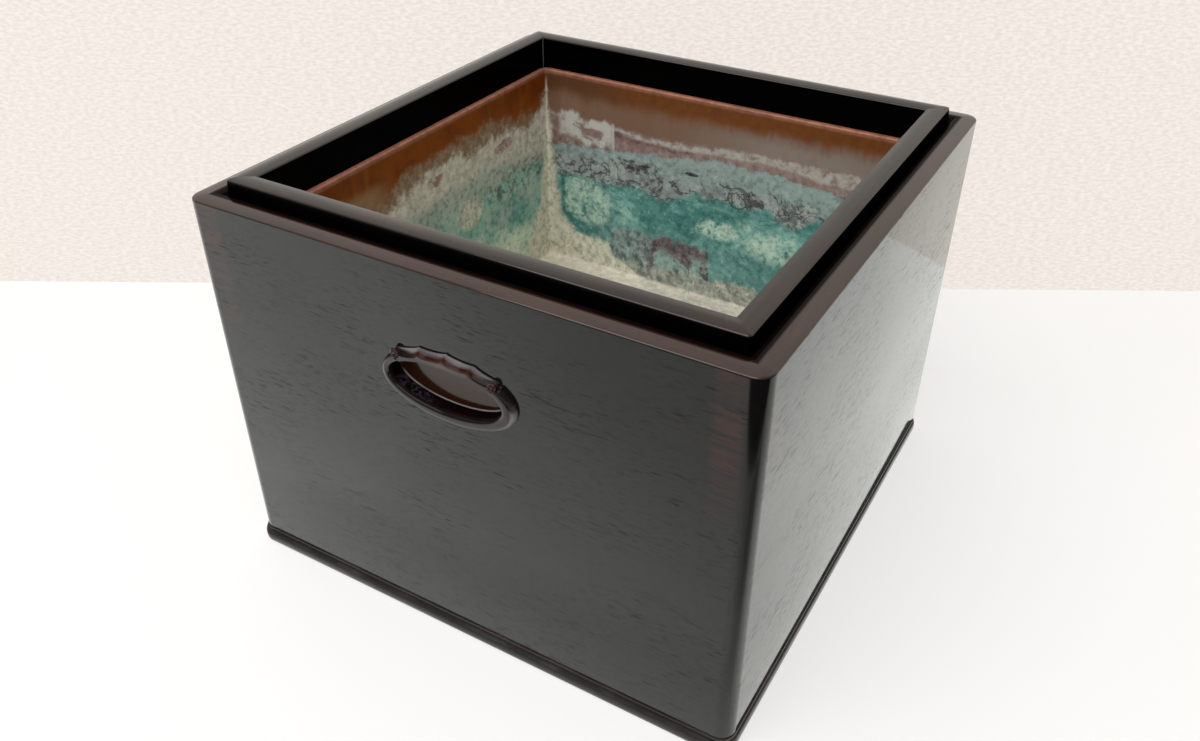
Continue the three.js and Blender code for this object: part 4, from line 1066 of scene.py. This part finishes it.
def metal(name, base, dull, roughness):
    graph = Graph(name)
    point, _ = graph.place()
    tarnish = graph.noise(point, 160.0, 4.0, 0.6)
    graph.set(Base_Color=graph.mix(tarnish.step(0.4, 0.7), base, dull))
    graph.set(Roughness=tarnish.step(0.3, 0.8, roughness - 0.08, roughness + 0.15), Metallic=1.0)
    graph.set(Normal=graph.bump(tarnish, 0.2, 0.0001))
    return graph.material


inner_wood = {axis: plain_wood("inner_wood_" + axis.lower(), axis) for axis in "XYZ"}
stained_wood = lacquered_wood("stained_wood", "X", (0.012, 0.0055, 0.0048), (0.03, 0.012, 0.009), 70.0,
                              polish=0.10)
wire_metal = metal("wire_metal", (0.45, 0.44, 0.40), (0.25, 0.22, 0.18), 0.4)
screw_metal = metal("screw_metal", (0.60, 0.42, 0.18), (0.30, 0.20, 0.10), 0.35)
looks = {
    "liner_rim_wire": wire_metal,
    "plate_screw_": screw_metal,
    "ledger_screw_": screw_metal,
    "ledger_": inner_wood["Y"],
    "spline_": inner_wood["Z"],
    "glue_block_": inner_wood["Z"],
    "slat_": inner_wood["X"],
    "bottom_board": inner_wood["X"],
    "pull_plate_": stained_wood,
}
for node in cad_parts:
    for start, material in looks.items():
        if node.startswith(start):
            dress(node, material)
            break


# Table, wall and light
# A white table that meets an off-white papered wall behind the box, under soft light from above.
# Both are there from their front only. In reflections the table darkens towards the near right
# corner and beyond it.
WALL_POINT = Vector((-0.678, -0.051, 0.0))
WALL_ALONG = Vector((0.869, 0.494, 0.0))
WALL_HEIGHT = Vector((0, 0, 3.0))
REACH = 4.0
NEAR_CORNER = 0.257
DIAGONAL = 0.707
ROOM_STRENGTH = 0.5
ROOM_SEEN_STRENGTH = 0.92


def stage_plane(name, corners, material):
    mesh = bpy.data.meshes.new(name)
    mesh.from_pydata(corners, [], [(0, 1, 2, 3)])
    made = put_in_scene(name, mesh)
    mesh.materials.append(material)
    return made


def show(graph, base, ray, share, colour, strength):
    """Lets rays of one kind see a glowing colour instead of a share of the surface."""
    glow = graph.node("ShaderNodeEmission", {}, {"Color": colour, "Strength": strength})
    seen = graph.node("ShaderNodeLightPath", {}, {}, ray) * share
    return graph.node("ShaderNodeMixShader", {}, {0: seen, 1: base, 2: glow})


def finish_surface(graph, surface):
    """Ends the material: the plane is there from its front only, and is looked through from behind."""
    behind = graph.node("ShaderNodeNewGeometry", {}, {}, "Backfacing")
    clear = graph.node("ShaderNodeBsdfTransparent", {}, {})
    surface = graph.node("ShaderNodeMixShader", {}, {0: behind, 1: surface, 2: clear})
    graph.tree.links.new(surface.socket, graph.tree.nodes["Material Output"].inputs["Surface"])
    return graph.material


def table_material():
    graph = Graph("table_white")
    _, (x, y, _) = graph.place()
    graph.set(Base_Color=(0.90, 0.885, 0.865), Roughness=0.5)
    surface = Wire(graph, graph.shader.outputs[0])
    surface = show(graph, surface, "Is Camera Ray", 0.6, (1.0, 0.995, 0.985), 1.0)
    towards_corner = (x - y) * DIAGONAL
    glow = towards_corner.follow((-1.0, 1.0), (-0.1, 1.0), (0.0, 0.98), (0.1, 0.87), (0.2, 0.77),
                                 (0.3, 0.68), (0.4, 0.64), (0.5, 0.58), (0.53, 0.52), (0.55, 0.20),
                                 (0.575, 0.08), (0.6, 0.0), (2.0, 0.0))
    beside = x.follow((-2.0, 1.0), (0.15, 1.0), (0.19, 0.88), (0.22, 1.03), (0.25, 1.17), (0.30, 1.34),
                      (0.36, 1.40), (0.5, 1.3), (2.0, 1.3))
    before = y.follow((-2.0, 1.0), (-0.45, 1.05), (-0.35, 1.12), (-0.25, 1.06), (-0.22, 0.88),
                      (-0.18, 0.88), (-0.16, 1.0), (2.0, 1.0))
    before = before * x.step(-0.10, -0.27, 1.0, 1.13)
    glow = glow * graph.node("ShaderNodeMix", {}, {0: (x + y).step(-0.05, 0.05), 2: before, 3: beside})
    by_corner = towards_corner.follow((0.0, 0.0), (0.20, 0.0), (NEAR_CORNER, 0.04), (0.285, 0.09),
                                      (0.306, 0.29), (0.337, 0.42), (0.371, 0.61), (0.407, 0.69),
                                      (0.445, 0.71), (0.50, 0.70), (0.53, 0.50), (2.0, 0.50))
    aside = (x + y) / (towards_corner - NEAR_CORNER).most(0.02)
    sector = aside.follow((-10.0, 0.0), (-1.0, 0.0), (-0.42, 0.3), (0.0, 0.65), (0.4, 1.0), (1.0, 1.0),
                          (1.25, 0.8), (1.5, 0.47), (1.9, 0.24), (3.0, 0.0), (10.0, 0.0))
    glow = glow * (1 - by_corner * sector)
    tint = graph.mix(glow, (0.0, 0.0, 0.0), (0.99, 1.0, 0.95))
    return finish_surface(graph, show(graph, surface, "Is Glossy Ray", 1.0, tint, 1.36))


def wall_material():
    graph = Graph("wall_white")
    _, (x, y, z) = graph.place()
    along = x * WALL_ALONG.x + y * WALL_ALONG.y
    weave = graph.noise(graph.vector(along * 190.0, 0.0, z * 430.0), 1.0, 2.0, 0.6)
    threads = graph.noise(graph.vector(along * 120.0, 0.0, z * 900.0), 1.0, 1.0)
    relief = weave * 0.7 + threads * 0.3
    paper = graph.mix(relief.step(0.36, 0.64), (0.845, 0.775, 0.715), (0.98, 0.91, 0.85))
    graph.set(Base_Color=(0.84, 0.78, 0.735), Roughness=0.9)
    graph.set(Normal=graph.bump(weave, 0.35, 0.002))
    surface = Wire(graph, graph.shader.outputs[0])
    surface = show(graph, surface, "Is Camera Ray", 0.85, paper, 1.0)
    return finish_surface(graph, show(graph, surface, "Is Glossy Ray", 1.0, (0.98, 0.94, 0.86), 1.2))


toward = Vector((WALL_ALONG.y, -WALL_ALONG.x, 0.0))
low_left = WALL_POINT - WALL_ALONG * REACH
low_right = WALL_POINT + WALL_ALONG * REACH
near = toward * REACH
table_corners = [low_left - near, low_left + near, low_right + near, low_right - near]
wall_corners = [low_left, low_right, low_right + WALL_HEIGHT, low_left + WALL_HEIGHT]
stage_plane("table", table_corners, table_material())
stage_plane("wall", wall_corners, wall_material())


class Room(Graph):
    """The world's node tree."""

    def __init__(self, name):
        self.world = bpy.data.worlds.new(name)
        self.world.use_nodes = True
        self.tree = self.world.node_tree
        self.shader = self.tree.nodes["Background"]


room = Room("room")
seen_by_camera = room.node("ShaderNodeLightPath", {}, {}, "Is Camera Ray")
strength = seen_by_camera * (ROOM_SEEN_STRENGTH - ROOM_STRENGTH) + ROOM_STRENGTH
room.set(Color=(1.0, 0.985, 0.97), Strength=strength)
bpy.context.scene.world = room.world


def area_light(name, place, target, size, power):
    data = bpy.data.lights.new(name, "AREA")
    data.shape = "RECTANGLE"
    data.size, data.size_y = size
    data.energy = power
    made = put_in_scene(name, data)
    made.location = place
    made.rotation_euler = (Vector(target) - Vector(place)).to_track_quat("-Z", "Y").to_euler()
    return made


area_light("ceiling_light", (-0.1, -1.1, 1.9), (0, 0, 0.1), (2.0, 1.4), 38)

bpy.context.scene.view_settings.view_transform = "Standard"
